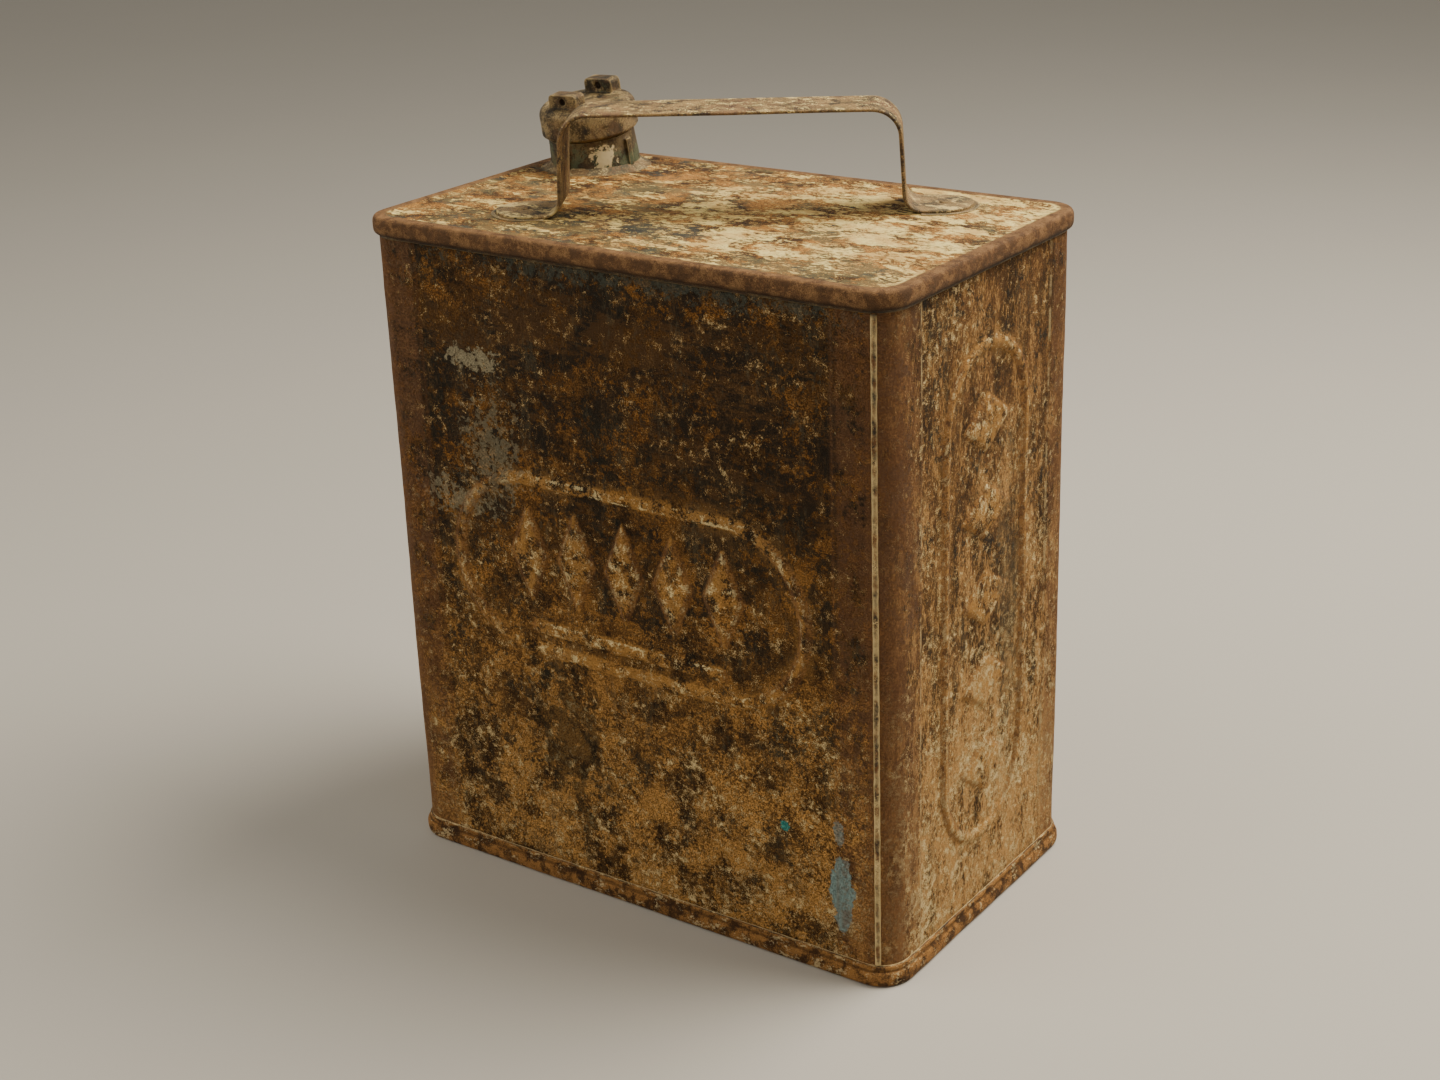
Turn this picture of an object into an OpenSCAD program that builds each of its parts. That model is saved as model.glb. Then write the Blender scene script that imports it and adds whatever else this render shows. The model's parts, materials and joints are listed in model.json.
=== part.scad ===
/* [Body] */
// Width across the wide faces' ends
body_w = 240; // [195:1:290]
// Depth across the narrow faces' ends
body_d = 142; // [118:1:172]
// Height of the top panel above the ground
body_h = 276; // [229:1:332]
// Outside radius of the four upright corners
corner_r = 12; // [10:0.5:16]
// Thickness of the steel sheet
sheet_t = 0.8; // [0.6:0.05:1]

/* [Rims] */
// How far both rims stand proud of the walls
rim_out = 2.6; // [2.1:0.1:3.2]
// Rounding of the rims' outer edges
rim_round = 1.8; // [1.2:0.1:1.9]
// Height of the top rim
top_rim_h = 7.5; // [6:0.5:9]
// Height of the base rim's main bead
base_rim_h = 6.5; // [5.4:0.1:8]
// Height of the thin lip above the base bead
base_lip_h = 2; // [1.5:0.1:3]
// How far the thin lip stands proud
base_lip_out = 1; // [0.7:0.1:1.4]
// Height of the base panel's underside above the ground
base_recess = 3; // [2:0.1:4]

/* [Upright seams] */
// Angle round the corner at which the outer sheet ends
seam_angle = 25; // [18:1:30]
// How far the inner sheet runs on under the outer one
seam_lap = 7; // [5:0.5:9]
// Gap between the lapped sheets, filled with solder
seam_gap = 0.1; // [0.05:0.05:0.15]
// Width of the solder ridge on the seam
seam_ridge_w = 2.4; // [1.8:0.1:3]
// Height of the solder ridges and fillets
solder_h = 0.6; // [0.4:0.1:0.9]

/* [Pressed relief] */
// How far the pressed relief stands proud
relief_h = 0.9; // [0.6:0.1:1.2]
// Width of the pressed lines
relief_line = 5; // [4:0.5:6]
// Length of the border on a wide face
wide_border_l = 172; // [140:1:180]
// Height of the border on a wide face
wide_border_h = 78; // [64:1:94]
// Height of the middle of the wide border
wide_border_z = 142; // [118:1:160]
// Length of the border on a narrow face
narrow_border_l = 208; // [173:1:216]
// Width of the border on a narrow face
narrow_border_w = 66; // [56:1:80]
// Width of a lozenge
lozenge_w = 22; // [18:1:26]
// Height of a lozenge
lozenge_h = 40; // [34:1:46]

/* [Handle] */
// Width of the handle strap
strap_w = 27; // [22:1:32]
// Thickness of the handle strap
strap_t = 1.7; // [1.4:0.1:2.1]
// Half the distance between the legs at their tops
handle_reach = 65.1; // [54:0.1:70]
// Height of the strap's middle above the top panel
handle_rise = 40; // [33:0.1:48]
// Outward lean of the legs towards their feet
leg_lean = 3; // [1:0.1:6]
// Bend radius at the top of a leg, to the strap's middle
top_bend_r = 11; // [9:0.5:14]
// Bend radius at a foot, to the strap's middle
foot_bend_r = 7; // [5.5:0.1:8.5]
// Length of a foot's flat pad
pad_l = 20; // [17:0.5:24]
// Distance of the handle's middle to the right of the panel's
handle_x = 5; // [0:0.5:6]
// Distance of the handle's middle behind the panel's
handle_y = 4; // [0:0.5:5]
// Radius of a rivet's shank
rivet_r = 2; // [1.6:0.1:2.4]
// Radius of a rivet's head
rivet_head_r = 3.6; // [3:0.1:4.2]
// Height of a rivet's head
rivet_head_h = 0.8; // [0.6:0.1:1.2]
// Thickness of the plates under the feet
plate_t = 1.2; // [1:0.1:1.6]

/* [Neck] */
// Gap between the neck's flange and the end sheet
neck_gap_x = 1.9; // [1:0.1:8]
// Gap between the neck's flange and the back sheet
neck_gap_y = 2.4; // [1:0.1:8]
// Lean of the neck away from upright
neck_lean = 7.2; // [0:0.2:9]
// Direction of the lean, anticlockwise from the right
neck_lean_dir = 250; // [0:5:355]
// How far the shoulder stands out from the thread's root
shoulder_out = 1.6; // [1.2:0.1:2]
// How much wider the neck is at the top panel than at its shoulder
neck_taper = 0.8; // [0:0.1:2]
// Height of the shoulder under the cap
shoulder_h = 14.8; // [12.3:0.1:17.8]
// Wall of the neck inside its thread
neck_wall = 2.1; // [1.6:0.1:3]
// Width of the flange under the top panel
flange_w = 4.8; // [3:0.1:6]
// Thickness of the flange
flange_t = 1.5; // [1.2:0.1:2]
// Height of the threaded part above the shoulder
thread_h = 8.6; // [7.1:0.1:10.4]

/* [Thread] */
// Rise of the cap in one turn
pitch = 3; // [2.6:0.1:3.4]
// Radius at the root of the neck's thread
thread_root_r = 16.6; // [13.8:0.1:20]
// Height of the neck's thread ridge
thread_depth = 1.1; // [1:0.05:1.2]
// Width of a thread ridge at its root
ridge_root_w = 1.7; // [1.4:0.05:1.8]
// Width of a thread ridge at its crest
ridge_crest_w = 0.9; // [0.7:0.05:1]
// Radial gap between the cap's thread and the neck
thread_gap = 0.4; // [0.35:0.05:0.5]

/* [Cap] */
// Wall of the cap outside its thread
cap_wall = 2.3; // [2:0.1:2.8]
// Thickness of the cap's top
cap_top_t = 3.6; // [3:0.1:4.4]
// Gap between the cap's edge and the shoulder
cap_gap = 0.3; // [0.25:0.05:0.5]
// Width of the rounded shoulder round the cap's top
cap_shoulder_w = 4.2; // [3.5:0.1:5]
// Height of the rounded shoulder
cap_shoulder_h = 4.4; // [3.6:0.1:5]
// Width of the bevel round the cap's lower edge
cap_foot_w = 1.9; // [1:0.1:2.2]
// Height of the bevel
cap_foot_h = 1.3; // [0.8:0.1:1.6]
// Height of the two lugs above the cap's top
lug_h = 6; // [5:0.1:7.2]
// Width of a lug
lug_w = 14.5; // [12:0.5:15.5]
// Thickness of a lug
lug_t = 6.5; // [5.5:0.5:7]
// Distance from the cap's edge to a lug's outer face
lug_inset = 4.95; // [4:0.05:6]
// Radius of the sealing-wire hole in a lug
wire_hole_r = 1.5; // [1.2:0.1:1.8]
// Thickness of the cap's washer
washer_t = 1.5; // [1.2:0.1:2]
// How far the washer reaches in past the neck's bore
washer_in = 2; // [0.5:0.1:4]

/* [Hidden] */
$fn = 64;

rust = [0.42, 0.26, 0.15];
dark_rust = [0.32, 0.2, 0.13];
pale_rust = [0.55, 0.42, 0.29];
solder_grey = [0.56, 0.52, 0.44];
bronze = [0.45, 0.4, 0.27];
leather_brown = [0.25, 0.17, 0.11];

eps = 0.01;
past = 20; // how far a cutting tool runs past what it cuts
sheet_bottom = base_recess + sheet_t;
sheet_top = body_h - sheet_t;
base_top = base_rim_h + base_lip_h;
top_rim_bottom = body_h - top_rim_h;
rim_flat = rim_out - rim_round; // width of the rims' flat top and bottom
lap_angle = seam_lap / corner_r * 180 / PI;
ridge_angle = seam_ridge_w / corner_r * 180 / PI;
base_foot_w = rim_round; // width of the base rim's inner foot

handle_angle = atan2(body_d, body_w); // the strap lies along the top's diagonal
top_bend_s = handle_reach - top_bend_r * cos(leg_lean);
top_bend_z = handle_rise - top_bend_r;
leg_top_z = top_bend_z + top_bend_r * sin(leg_lean);
leg_l = (leg_top_z + foot_bend_r * (sin(leg_lean) - 1) - strap_t / 2) / cos(leg_lean);
foot_bend_s = handle_reach + leg_l * sin(leg_lean) + foot_bend_r * cos(leg_lean);
foot_bend_z = foot_bend_r + strap_t / 2;
pad_end = foot_bend_s + pad_l;
rivet_s = foot_bend_s + pad_l / 2;
rivet_gap = 0.05;
plate_inset = 3; // how far a plate reaches past its pad all round
bend_steps = 10;

shoulder_r = thread_root_r + shoulder_out;
neck_r = shoulder_r + neck_taper;
bore_r = thread_root_r - neck_wall;
flange_r = neck_r + flange_w;
neck_x = sheet_t + neck_gap_x + flange_r - body_w / 2;
neck_y = body_d / 2 - sheet_t - neck_gap_y - flange_r;
neck_hole_r = neck_r + 0.3;
lip_h = shoulder_h + thread_h;
neck_rib_w = 3.2;
neck_rib_out = 0.8;
rib_gap = 0.05; // between a rib and the solder round it
neck_solder_out = 4.5;
neck_solder_h = 2.4;

cap_thread_r = thread_root_r + thread_gap; // crest of the cap's thread
cap_bore_r = cap_thread_r + thread_depth + 0.1;
cap_r = cap_bore_r + cap_wall;
cap_bottom = shoulder_h + cap_gap;
washer_gap = 0.12;
washer_bottom = lip_h + washer_gap;
ceiling_h = washer_bottom + washer_t + washer_gap;
cap_top = ceiling_h + cap_top_t;
cap_shoulder_steps = 6;
lug_root = 3; // how deep a lug is rooted in the cap's rounded shoulder
lug_out = cap_r - lug_inset - lug_t / 2;
washer_r = cap_bore_r - 0.3;
washer_hole_r = bore_r - washer_in;
lug_round = 2;

thread_low = cap_bottom + ridge_root_w / 2 + 0.1;
thread_high = lip_h - ridge_root_w / 2 - 0.1;
thread_turn = (thread_high - thread_low) / pitch * 360;
thread_step = 12;
thread_sunk = 0.4; // how deep a ridge is rooted in its wall

// Plan outline of the body, rounded at its corners
module plan(w, d, r) {
    square([w - 2 * r, d], center = true);
    square([w, d - 2 * r], center = true);
    for (x = [-1, 1], y = [-1, 1]) {
        translate([x * (w / 2 - r), y * (d / 2 - r)])
            circle(r = r);
    }
}

// Moves to corner i, counted anticlockwise from the back right one
module at_corner(i) {
    x = [1, -1, -1, 1][i];
    y = [1, 1, -1, -1][i];
    translate([x * (body_w / 2 - corner_r), y * (body_d / 2 - corner_r), 0])
        rotate(i * 90)
            children();
}

// Turns a profile round corner i, from angle a0 to angle a1
module turned(i, a0 = 0, a1 = 90) {
    at_corner(i)
        rotate(a0)
            rotate_extrude(angle = a1 - a0)
                translate([corner_r, 0])
                    children();
}

// Runs a profile along the straight wall i, counted anticlockwise from the right one
module run(i) {
    out = i % 2 == 0 ? body_w / 2 : body_d / 2;
    l = (i % 2 == 0 ? body_d : body_w) - 2 * corner_r;
    rotate(i * 90)
        translate([out, l / 2, 0])
            rotate([90, 0, 0])
                linear_extrude(l)
                    children();
}

// Runs a profile all round the body; x is outward from the wall, y is up
module loop() {
    for (i = [0:3]) {
        turned(i)
            children();
        run(i)
            children();
    }
}

// Upright band with both outer corners rounded
module rounded_band(w, h, r) {
    square([w - r, h]);
    translate([0, r])
        square([w, h - 2 * r]);
    for (y = [r, h - r]) {
        intersection() {
            translate([w - r, y])
                circle(r = r);
            square([w, h]);
        }
    }
}

// Flat sheet that closes the body's end and is rooted in the rim round it
module end_sheet() {
    linear_extrude(sheet_t)
        plan(body_w + rim_flat, body_d + rim_flat, corner_r + rim_flat / 2);
}

module stadium(l, w) {
    square([l - w, w], center = true);
    for (x = [-1, 1]) {
        translate([x * (l - w) / 2, 0])
            circle(r = w / 2);
    }
}

module stadium_border(l, w, line) {
    difference() {
        stadium(l, w);
        stadium(l - 2 * line, w - 2 * line);
    }
}

module lozenge(w, h) {
    polygon([[w / 2, 0], [0, h / 2], [-w / 2, 0], [0, -h / 2]]);
}

// Plain pressed pattern of the wide faces: a border, a row of lozenges and a bar under them
module wide_relief() {
    stadium_border(wide_border_l, wide_border_h, relief_line);
    row = wide_border_l - wide_border_h;
    for (i = [-2:2]) {
        translate([i * row / 4, relief_line])
            lozenge(lozenge_w * 0.8, lozenge_h);
    }
    translate([0, relief_line * 1.5 - wide_border_h / 2 + relief_line])
        stadium(row, relief_line);
}

// Plain pressed pattern of the narrow faces: a border and a column of lozenges
module narrow_relief() {
    stadium_border(narrow_border_l, narrow_border_w, relief_line);
    column = narrow_border_l - narrow_border_w;
    for (i = [-2:2]) {
        translate([i * column / 4, 0])
            lozenge(lozenge_w, lozenge_h * 0.85);
    }
}

// Ring of sheet between two depths under the walls' outer faces
module skin_ring(outer, inner) {
    difference() {
        plan(body_w - 2 * outer, body_d - 2 * outer, corner_r - outer);
        plan(body_w - 2 * inner, body_d - 2 * inner, corner_r - inner);
    }
}

function from_corner(x, y, a) = [
    x * (body_w / 2 - corner_r) + 2 * corner_r * cos(a),
    y * (body_d / 2 - corner_r) + 2 * corner_r * sin(a)
];

// Wedge at the front right corner between two angles counted from the wide face
module wedge(a0, a1) {
    polygon([
        [body_w / 2 - corner_r, corner_r - body_d / 2],
        from_corner(1, -1, a0 - 90),
        from_corner(1, -1, a1 - 90)
    ]);
}

// Everything that belongs to the front sheet: its wide face, a corner and its narrow face
module front_side() {
    polygon([
        [body_w / 2 - corner_r, corner_r - body_d / 2],
        from_corner(1, -1, seam_angle - 90),
        [body_w / 2, -body_d],
        [-body_w, -body_d],
        [-body_w, body_d / 2],
        from_corner(-1, 1, 90 + seam_angle + ridge_angle / 4),
        [corner_r - body_w / 2, body_d / 2 - corner_r]
    ]);
}

// One of the two bent sheets, with a flange that steps down and runs on under the other sheet
module body_sheet() {
    flange_out = sheet_t + seam_gap;
    translate([0, 0, sheet_bottom])
        linear_extrude(sheet_top - sheet_bottom) {
            intersection() {
                skin_ring(0, sheet_t);
                front_side();
            }
            intersection() {
                skin_ring(0, flange_out + sheet_t);
                wedge(seam_angle - 8, seam_angle);
            }
            intersection() {
                skin_ring(flange_out, flange_out + sheet_t);
                wedge(seam_angle - 4, seam_angle + lap_angle);
            }
        }
    translate([0, (sheet_t - body_d) / 2, wide_border_z])
        rotate([90, 0, 0])
            linear_extrude(relief_h + sheet_t / 2)
                wide_relief();
    translate([(sheet_t - body_w) / 2, 0, body_h / 2])
        rotate([90, 0, -90])
            linear_extrude(relief_h + sheet_t / 2)
                rotate(90)
                    narrow_relief();
}

module body_sheet_front() {
    color(rust)
        body_sheet();
}

module body_sheet_back() {
    color(rust)
        rotate(180)
            body_sheet();
}

// Solder ridge over an upright seam, between the two seam fillets
module corner_solder(i) {
    low = base_top + solder_h;
    high = top_rim_bottom - solder_h * 2;
    turned(i, seam_angle - ridge_angle / 2, seam_angle + ridge_angle / 2)
        translate([0, low])
            square([solder_h, high - low]);
}

module corner_solder_front() {
    color(solder_grey)
        corner_solder(3);
}

module corner_solder_back() {
    color(solder_grey)
        corner_solder(1);
}

module top_panel() {
    color(pale_rust)
        difference() {
            union() {
                loop()
                    translate([0, top_rim_bottom])
                        rounded_band(rim_out, top_rim_h, rim_round);
                translate([0, 0, sheet_top])
                    end_sheet();
            }
            at_neck()
                translate([0, 0, -past])
                    cylinder(r = neck_hole_r, h = 2 * past);
            at_rivets()
                translate([0, 0, -past])
                    cylinder(r = rivet_r + rivet_gap, h = 2 * past);
        }
}

// Solder fillet in the corner under the top rim
module top_seam_solder() {
    color(solder_grey)
        loop()
            polygon([
                [0, top_rim_bottom],
                [0, top_rim_bottom - solder_h * 2],
                [solder_h * 1.5, top_rim_bottom]
            ]);
}

module base_panel() {
    color(dark_rust)
        union() {
            loop()
                union() {
                    rounded_band(rim_out, base_rim_h, rim_round);
                    translate([0, base_rim_h - eps])
                        square([base_lip_out, base_lip_h + eps]);
                    translate([-base_foot_w, 0])
                        square([base_foot_w + eps, base_recess + eps]);
                }
            translate([0, 0, base_recess])
                end_sheet();
        }
}

// Solder fillet on top of the base rim's lip
module base_seam_solder() {
    color(solder_grey)
        loop()
            polygon([[0, base_top], [solder_h * 1.2, base_top], [0, base_top + solder_h]]);
}

// One edge of the strap's right half in side view: the outer edge for side = 1, the inner for -1
function strap_edge(side) = concat(
    [
        for (i = [0:bend_steps])
            let (a = 90 + (leg_lean - 90) * i / bend_steps, r = top_bend_r + side * strap_t / 2)
                [top_bend_s + r * cos(a), top_bend_z + r * sin(a)]
    ],
    [
        for (i = [0:bend_steps])
            let (a = 180 + leg_lean + (90 - leg_lean) * i / bend_steps, r = foot_bend_r - side * strap_t / 2)
                [foot_bend_s + r * cos(a), foot_bend_z + r * sin(a)]
    ],
    [[pad_end, (side + 1) * strap_t / 2]]
);

function reversed(points) = [for (i = [len(points) - 1:-1:0]) points[i]];
function mirrored(points) = [for (p = points) [-p[0], p[1]]];

module on_top() {
    translate([handle_x, handle_y, body_h])
        rotate(handle_angle)
            children();
}

// Repeats at the front foot (end = -1), the back foot (1) or at both
module at_rivets(ends = [-1, 1]) {
    on_top()
        for (end = ends) {
            translate([end * rivet_s, 0, 0])
                children();
        }
}

// Outline of a foot's pad, grown by g all round
module pad_plan(end, g) {
    w = strap_w + 2 * g;
    x0 = foot_bend_s - foot_bend_r;
    mirror([end < 0 ? 1 : 0, 0]) {
        translate([x0 - g, -w / 2])
            square([pad_end - strap_w / 2 - x0 + g, w]);
        translate([pad_end - strap_w / 2, 0])
            circle(r = w / 2);
    }
}

module handle_strap() {
    outer = strap_edge(1);
    inner = strap_edge(-1);
    color(dark_rust)
        difference() {
            on_top()
                intersection() {
                    translate([0, strap_w / 2, 0])
                        rotate([90, 0, 0])
                            linear_extrude(strap_w)
                                polygon(concat(
                                    outer, reversed(inner), mirrored(inner), reversed(mirrored(outer))
                                ));
                    linear_extrude(handle_rise + strap_t)
                        stadium(2 * pad_end, strap_w);
                }
            at_rivets()
                translate([0, 0, -past])
                    cylinder(r = rivet_r + rivet_gap, h = 2 * past);
        }
}

// Rivet through a foot, the top panel and the plate under it
module handle_rivet(end) {
    low = -sheet_t - plate_t;
    at_rivets([end]) {
        translate([0, 0, low])
            cylinder(r = rivet_r, h = strap_t - low);
        translate([0, 0, strap_t])
            cylinder(r1 = rivet_head_r, r2 = rivet_r, h = rivet_head_h);
        translate([0, 0, low - rivet_head_h])
            cylinder(r1 = rivet_r, r2 = rivet_head_r, h = rivet_head_h);
    }
}

module handle_rivet_front() {
    color(pale_rust)
        handle_rivet(-1);
}

module handle_rivet_back() {
    color(pale_rust)
        handle_rivet(1);
}

// Solder run round a foot's pad
module foot_solder(end) {
    on_top()
        linear_extrude(solder_h)
            difference() {
                pad_plan(end, 2);
                pad_plan(end, 0.05);
                translate([end * (foot_bend_s - foot_bend_r), 0])
                    square([2 * foot_bend_r, strap_w + 0.1], center = true);
            }
}

module foot_solder_front() {
    color(solder_grey)
        foot_solder(-1);
}

module foot_solder_back() {
    color(solder_grey)
        foot_solder(1);
}

// Plate inside the can that spreads a foot's load
module foot_plate(end) {
    difference() {
        on_top()
            translate([0, 0, -sheet_t - plate_t])
                linear_extrude(plate_t)
                    pad_plan(end, plate_inset);
        at_rivets([end])
            translate([0, 0, -past])
                cylinder(r = rivet_r + rivet_gap, h = past);
    }
}

module foot_plate_front() {
    color(dark_rust)
        foot_plate(-1);
}

module foot_plate_back() {
    color(dark_rust)
        foot_plate(1);
}

// Places along the neck's leaning axis, from where it leaves the top panel
module at_neck() {
    translate([neck_x, neck_y, body_h])
        rotate(neck_lean_dir)
            rotate([0, neck_lean, 0])
                rotate(-neck_lean_dir)
                    children();
}

// Four points of a thread ridge's section at angle a, rooted at r0 and crested at r1
function ridge_ring(a, low, r0, r1) =
    let (z = low + pitch * a / 360)
        [
            for (p = [[r0, -ridge_root_w], [r1, -ridge_crest_w], [r1, ridge_crest_w], [r0, ridge_root_w]])
                [p[0] * cos(a), p[0] * sin(a), z + p[1] / 2]
        ];

// Thread ridge from angle a0 to a1; it is at height low where the angle is nought
module thread_ridge(a0, a1, low, r0, r1) {
    steps = ceil((a1 - a0) / thread_step);
    points = [
        for (i = [0:steps])
            for (p = ridge_ring(a0 + (a1 - a0) * i / steps, low, r0, r1))
                p
    ];
    inward = r1 < r0;
    sides = [
        for (i = [0:steps - 1], k = [0:3])
            let (a = 4 * i + k, b = 4 * i + (k + 1) % 4, c = b + 4, d = a + 4)
                for (f = inward ? [[a, d, c], [a, c, b]] : [[a, c, d], [a, b, c]])
                    f
    ];
    last = 4 * steps;
    ends = inward
        ? [[0, 1, 2, 3], [last + 3, last + 2, last + 1, last]]
        : [[3, 2, 1, 0], [last, last + 1, last + 2, last + 3]];
    polyhedron(points = points, faces = concat(sides, ends), convexity = 10);
}

// Outside of the neck without its flange, thread and ribs
module neck_body() {
    low = -sheet_t - flange_t - 3;
    rotate_extrude()
        polygon([
            [0, low],
            [neck_r, low],
            [neck_r, 0],
            [shoulder_r, shoulder_h],
            [thread_root_r, shoulder_h],
            [thread_root_r, lip_h],
            [0, lip_h]
        ]);
}

// Four upright ribs round the neck, grown by g on each side
module neck_ribs(g = 0) {
    w = neck_rib_w + 2 * g;
    for (a = [0:90:270]) {
        rotate(a)
            translate([thread_root_r, -w / 2, 1 - g])
                cube([neck_r + neck_rib_out + g - thread_root_r, w, shoulder_h - 3]);
    }
}

module neck() {
    flange_z = body_h - sheet_t - flange_t;
    color(bronze)
        difference() {
            union() {
                translate([neck_x, neck_y, flange_z])
                    cylinder(r = flange_r, h = flange_t);
                difference() {
                    at_neck() {
                        neck_body();
                        neck_ribs();
                    }
                    translate([neck_x, neck_y, flange_z + flange_t / 2 - past / 2])
                        cube([4 * neck_r, 4 * neck_r, past], center = true);
                }
                at_neck()
                    thread_ridge(0, thread_turn, thread_low, thread_root_r - thread_sunk,
                        thread_root_r + thread_depth);
            }
            at_neck()
                translate([0, 0, -past])
                    cylinder(r = bore_r, h = 3 * past);
        }
}

// Solder fillet round the foot of the neck
module neck_solder_ring() {
    color(solder_grey)
        difference() {
            translate([neck_x, neck_y, body_h])
                rotate_extrude()
                    polygon([
                        [bore_r + 1, 0],
                        [neck_r + neck_solder_out, 0],
                        [neck_r + neck_solder_out, solder_h],
                        [neck_r + 1, neck_solder_h],
                        [bore_r + 1, neck_solder_h]
                    ]);
            at_neck() {
                translate([0, 0, -past])
                    cylinder(r = neck_hole_r, h = 2 * past);
                neck_ribs(rib_gap);
            }
        }
}

// Upright lug with rounded upper corners and a hole for sealing wire
module lug() {
    rotate([90, 0, 0])
        translate([0, 0, -lug_t / 2])
            linear_extrude(lug_t)
                difference() {
                    union() {
                        translate([-lug_w / 2, -lug_root])
                            square([lug_w, lug_root + lug_h - lug_round]);
                        translate([lug_round - lug_w / 2, 0])
                            square([lug_w - 2 * lug_round, lug_h]);
                        for (x = [-1, 1]) {
                            translate([x * (lug_w / 2 - lug_round), lug_h - lug_round])
                                circle(r = lug_round);
                        }
                    }
                    translate([0, lug_h / 2])
                        circle(r = wire_hole_r);
                }
}

// Turned body of the cap, hollow below its ceiling
module cap_body() {
    shoulder = [
        for (i = [0:cap_shoulder_steps])
            let (a = 90 * i / cap_shoulder_steps)
                [cap_r - cap_shoulder_w * (1 - cos(a)), cap_top - cap_shoulder_h * (1 - sin(a))]
    ];
    rotate_extrude()
        polygon(concat(
            [
                [0, ceiling_h],
                [cap_bore_r, ceiling_h],
                [cap_bore_r, cap_bottom],
                [cap_r - cap_foot_w, cap_bottom],
                [cap_r, cap_bottom + cap_foot_h]
            ],
            shoulder,
            [[0, cap_top]]
        ));
}

module cap() {
    color(bronze)
        at_neck() {
            cap_body();
            thread_ridge(-180, thread_turn - 180, thread_low + pitch / 2, cap_bore_r + thread_sunk,
                cap_thread_r);
            for (y = [-1, 1]) {
                translate([0, y * lug_out, cap_top])
                    lug();
            }
        }
}

module cap_washer() {
    color(leather_brown)
        at_neck()
            translate([0, 0, washer_bottom])
                difference() {
                    cylinder(r = washer_r, h = washer_t);
                    translate([0, 0, -1])
                        cylinder(r = washer_hole_r, h = washer_t + 2);
                }
}

body_sheet_front();
body_sheet_back();
corner_solder_front();
corner_solder_back();
top_panel();
top_seam_solder();
base_panel();
base_seam_solder();
handle_strap();
handle_rivet_front();
handle_rivet_back();
foot_solder_front();
foot_solder_back();
foot_plate_front();
foot_plate_back();
neck();
neck_solder_ring();
cap();
cap_washer();
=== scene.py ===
import json
import math

import bmesh
import bpy
import numpy as np
from mathutils import Matrix, Vector, noise


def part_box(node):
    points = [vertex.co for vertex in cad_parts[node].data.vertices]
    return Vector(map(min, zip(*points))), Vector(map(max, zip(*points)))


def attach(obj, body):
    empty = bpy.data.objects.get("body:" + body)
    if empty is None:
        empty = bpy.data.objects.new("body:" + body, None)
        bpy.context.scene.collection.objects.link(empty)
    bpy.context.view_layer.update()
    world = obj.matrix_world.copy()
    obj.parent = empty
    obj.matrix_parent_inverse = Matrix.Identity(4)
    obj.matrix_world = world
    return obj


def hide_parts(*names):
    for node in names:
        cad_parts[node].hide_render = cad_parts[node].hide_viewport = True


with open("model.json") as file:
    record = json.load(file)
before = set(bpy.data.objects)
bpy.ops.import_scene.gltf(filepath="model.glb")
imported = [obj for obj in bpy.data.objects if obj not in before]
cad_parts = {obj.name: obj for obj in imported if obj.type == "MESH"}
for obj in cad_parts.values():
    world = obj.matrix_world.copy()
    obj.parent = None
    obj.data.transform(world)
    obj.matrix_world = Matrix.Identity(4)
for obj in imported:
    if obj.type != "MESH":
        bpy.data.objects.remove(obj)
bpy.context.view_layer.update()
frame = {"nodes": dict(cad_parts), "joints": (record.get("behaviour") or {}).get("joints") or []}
scene = bpy.context.scene
print("frame loaded:", len(frame["nodes"]), "parts")

# Sizes that several pieces share, in metres, most of them read off the frame
can = {
    "rimOut": 0.0026,  # how far the rims stand proud of the walls
    "cornerR": 0.012,
    "sheet": 0.0008,
    "seamAngle": math.radians(25),  # where a corner's seam lies, from the wide face
    "solderH": 0.0006,
}
topLow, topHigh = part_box("top_panel")
sheetLow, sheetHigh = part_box("body_sheet_front")
halfW = topHigh.x - can["rimOut"]
halfD = topHigh.y - can["rimOut"]
bodyH = topHigh.z
rimBottom = topLow.z
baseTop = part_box("base_panel")[1].z
cornerR = can["cornerR"]
straightW = 2 * (halfW - cornerR)
straightD = 2 * (halfD - cornerR)
cornerL = cornerR * math.pi / 2
halfLap = straightD + straightW + 2 * cornerL

# Where the neck stands and how it leans
capJoint = next(j for j in frame["joints"] if j["name"] == "cap_turn")
neckAxis = Vector(capJoint["axis"]).normalized()
jointSpot = Vector(capJoint["pos_m"])
neckFoot = jointSpot - neckAxis * ((jointSpot.z - bodyH) / neckAxis.z)


# Colours and shader nodes

def tint(red, green, blue):
    # a colour as an eye reads it, 0 to 255, turned into the linear values that shaders use
    parts = [c / 255 for c in (red, green, blue)]
    return tuple(c / 12.92 if c <= 0.04045 else ((c + 0.055) / 1.055) ** 2.4 for c in parts) + (1,)


def feed(tree, socket, value):
    if isinstance(value, bpy.types.NodeSocket):
        tree.links.new(value, socket)
    elif value is not None:
        socket.default_value = value


def add(tree, kind, settings=None, **sockets):
    made = tree.nodes.new("ShaderNode" + kind)
    for key, value in (settings or {}).items():
        setattr(made, key, value)
    for key, value in sockets.items():
        feed(tree, made.inputs[key], value)
    return made


def maths(tree, operation, *values):
    made = tree.nodes.new("ShaderNodeMath")
    made.operation = operation
    for socket, value in zip(made.inputs, values):
        feed(tree, socket, value)
    return made.outputs[0]


def vectorMaths(tree, operation, first, second=None, scale=None):
    made = tree.nodes.new("ShaderNodeVectorMath")
    made.operation = operation
    feed(tree, made.inputs[0], first)
    feed(tree, made.inputs[1], second)
    feed(tree, made.inputs[3], scale)
    return made.outputs[1 if operation == "LENGTH" else 0]


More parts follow.
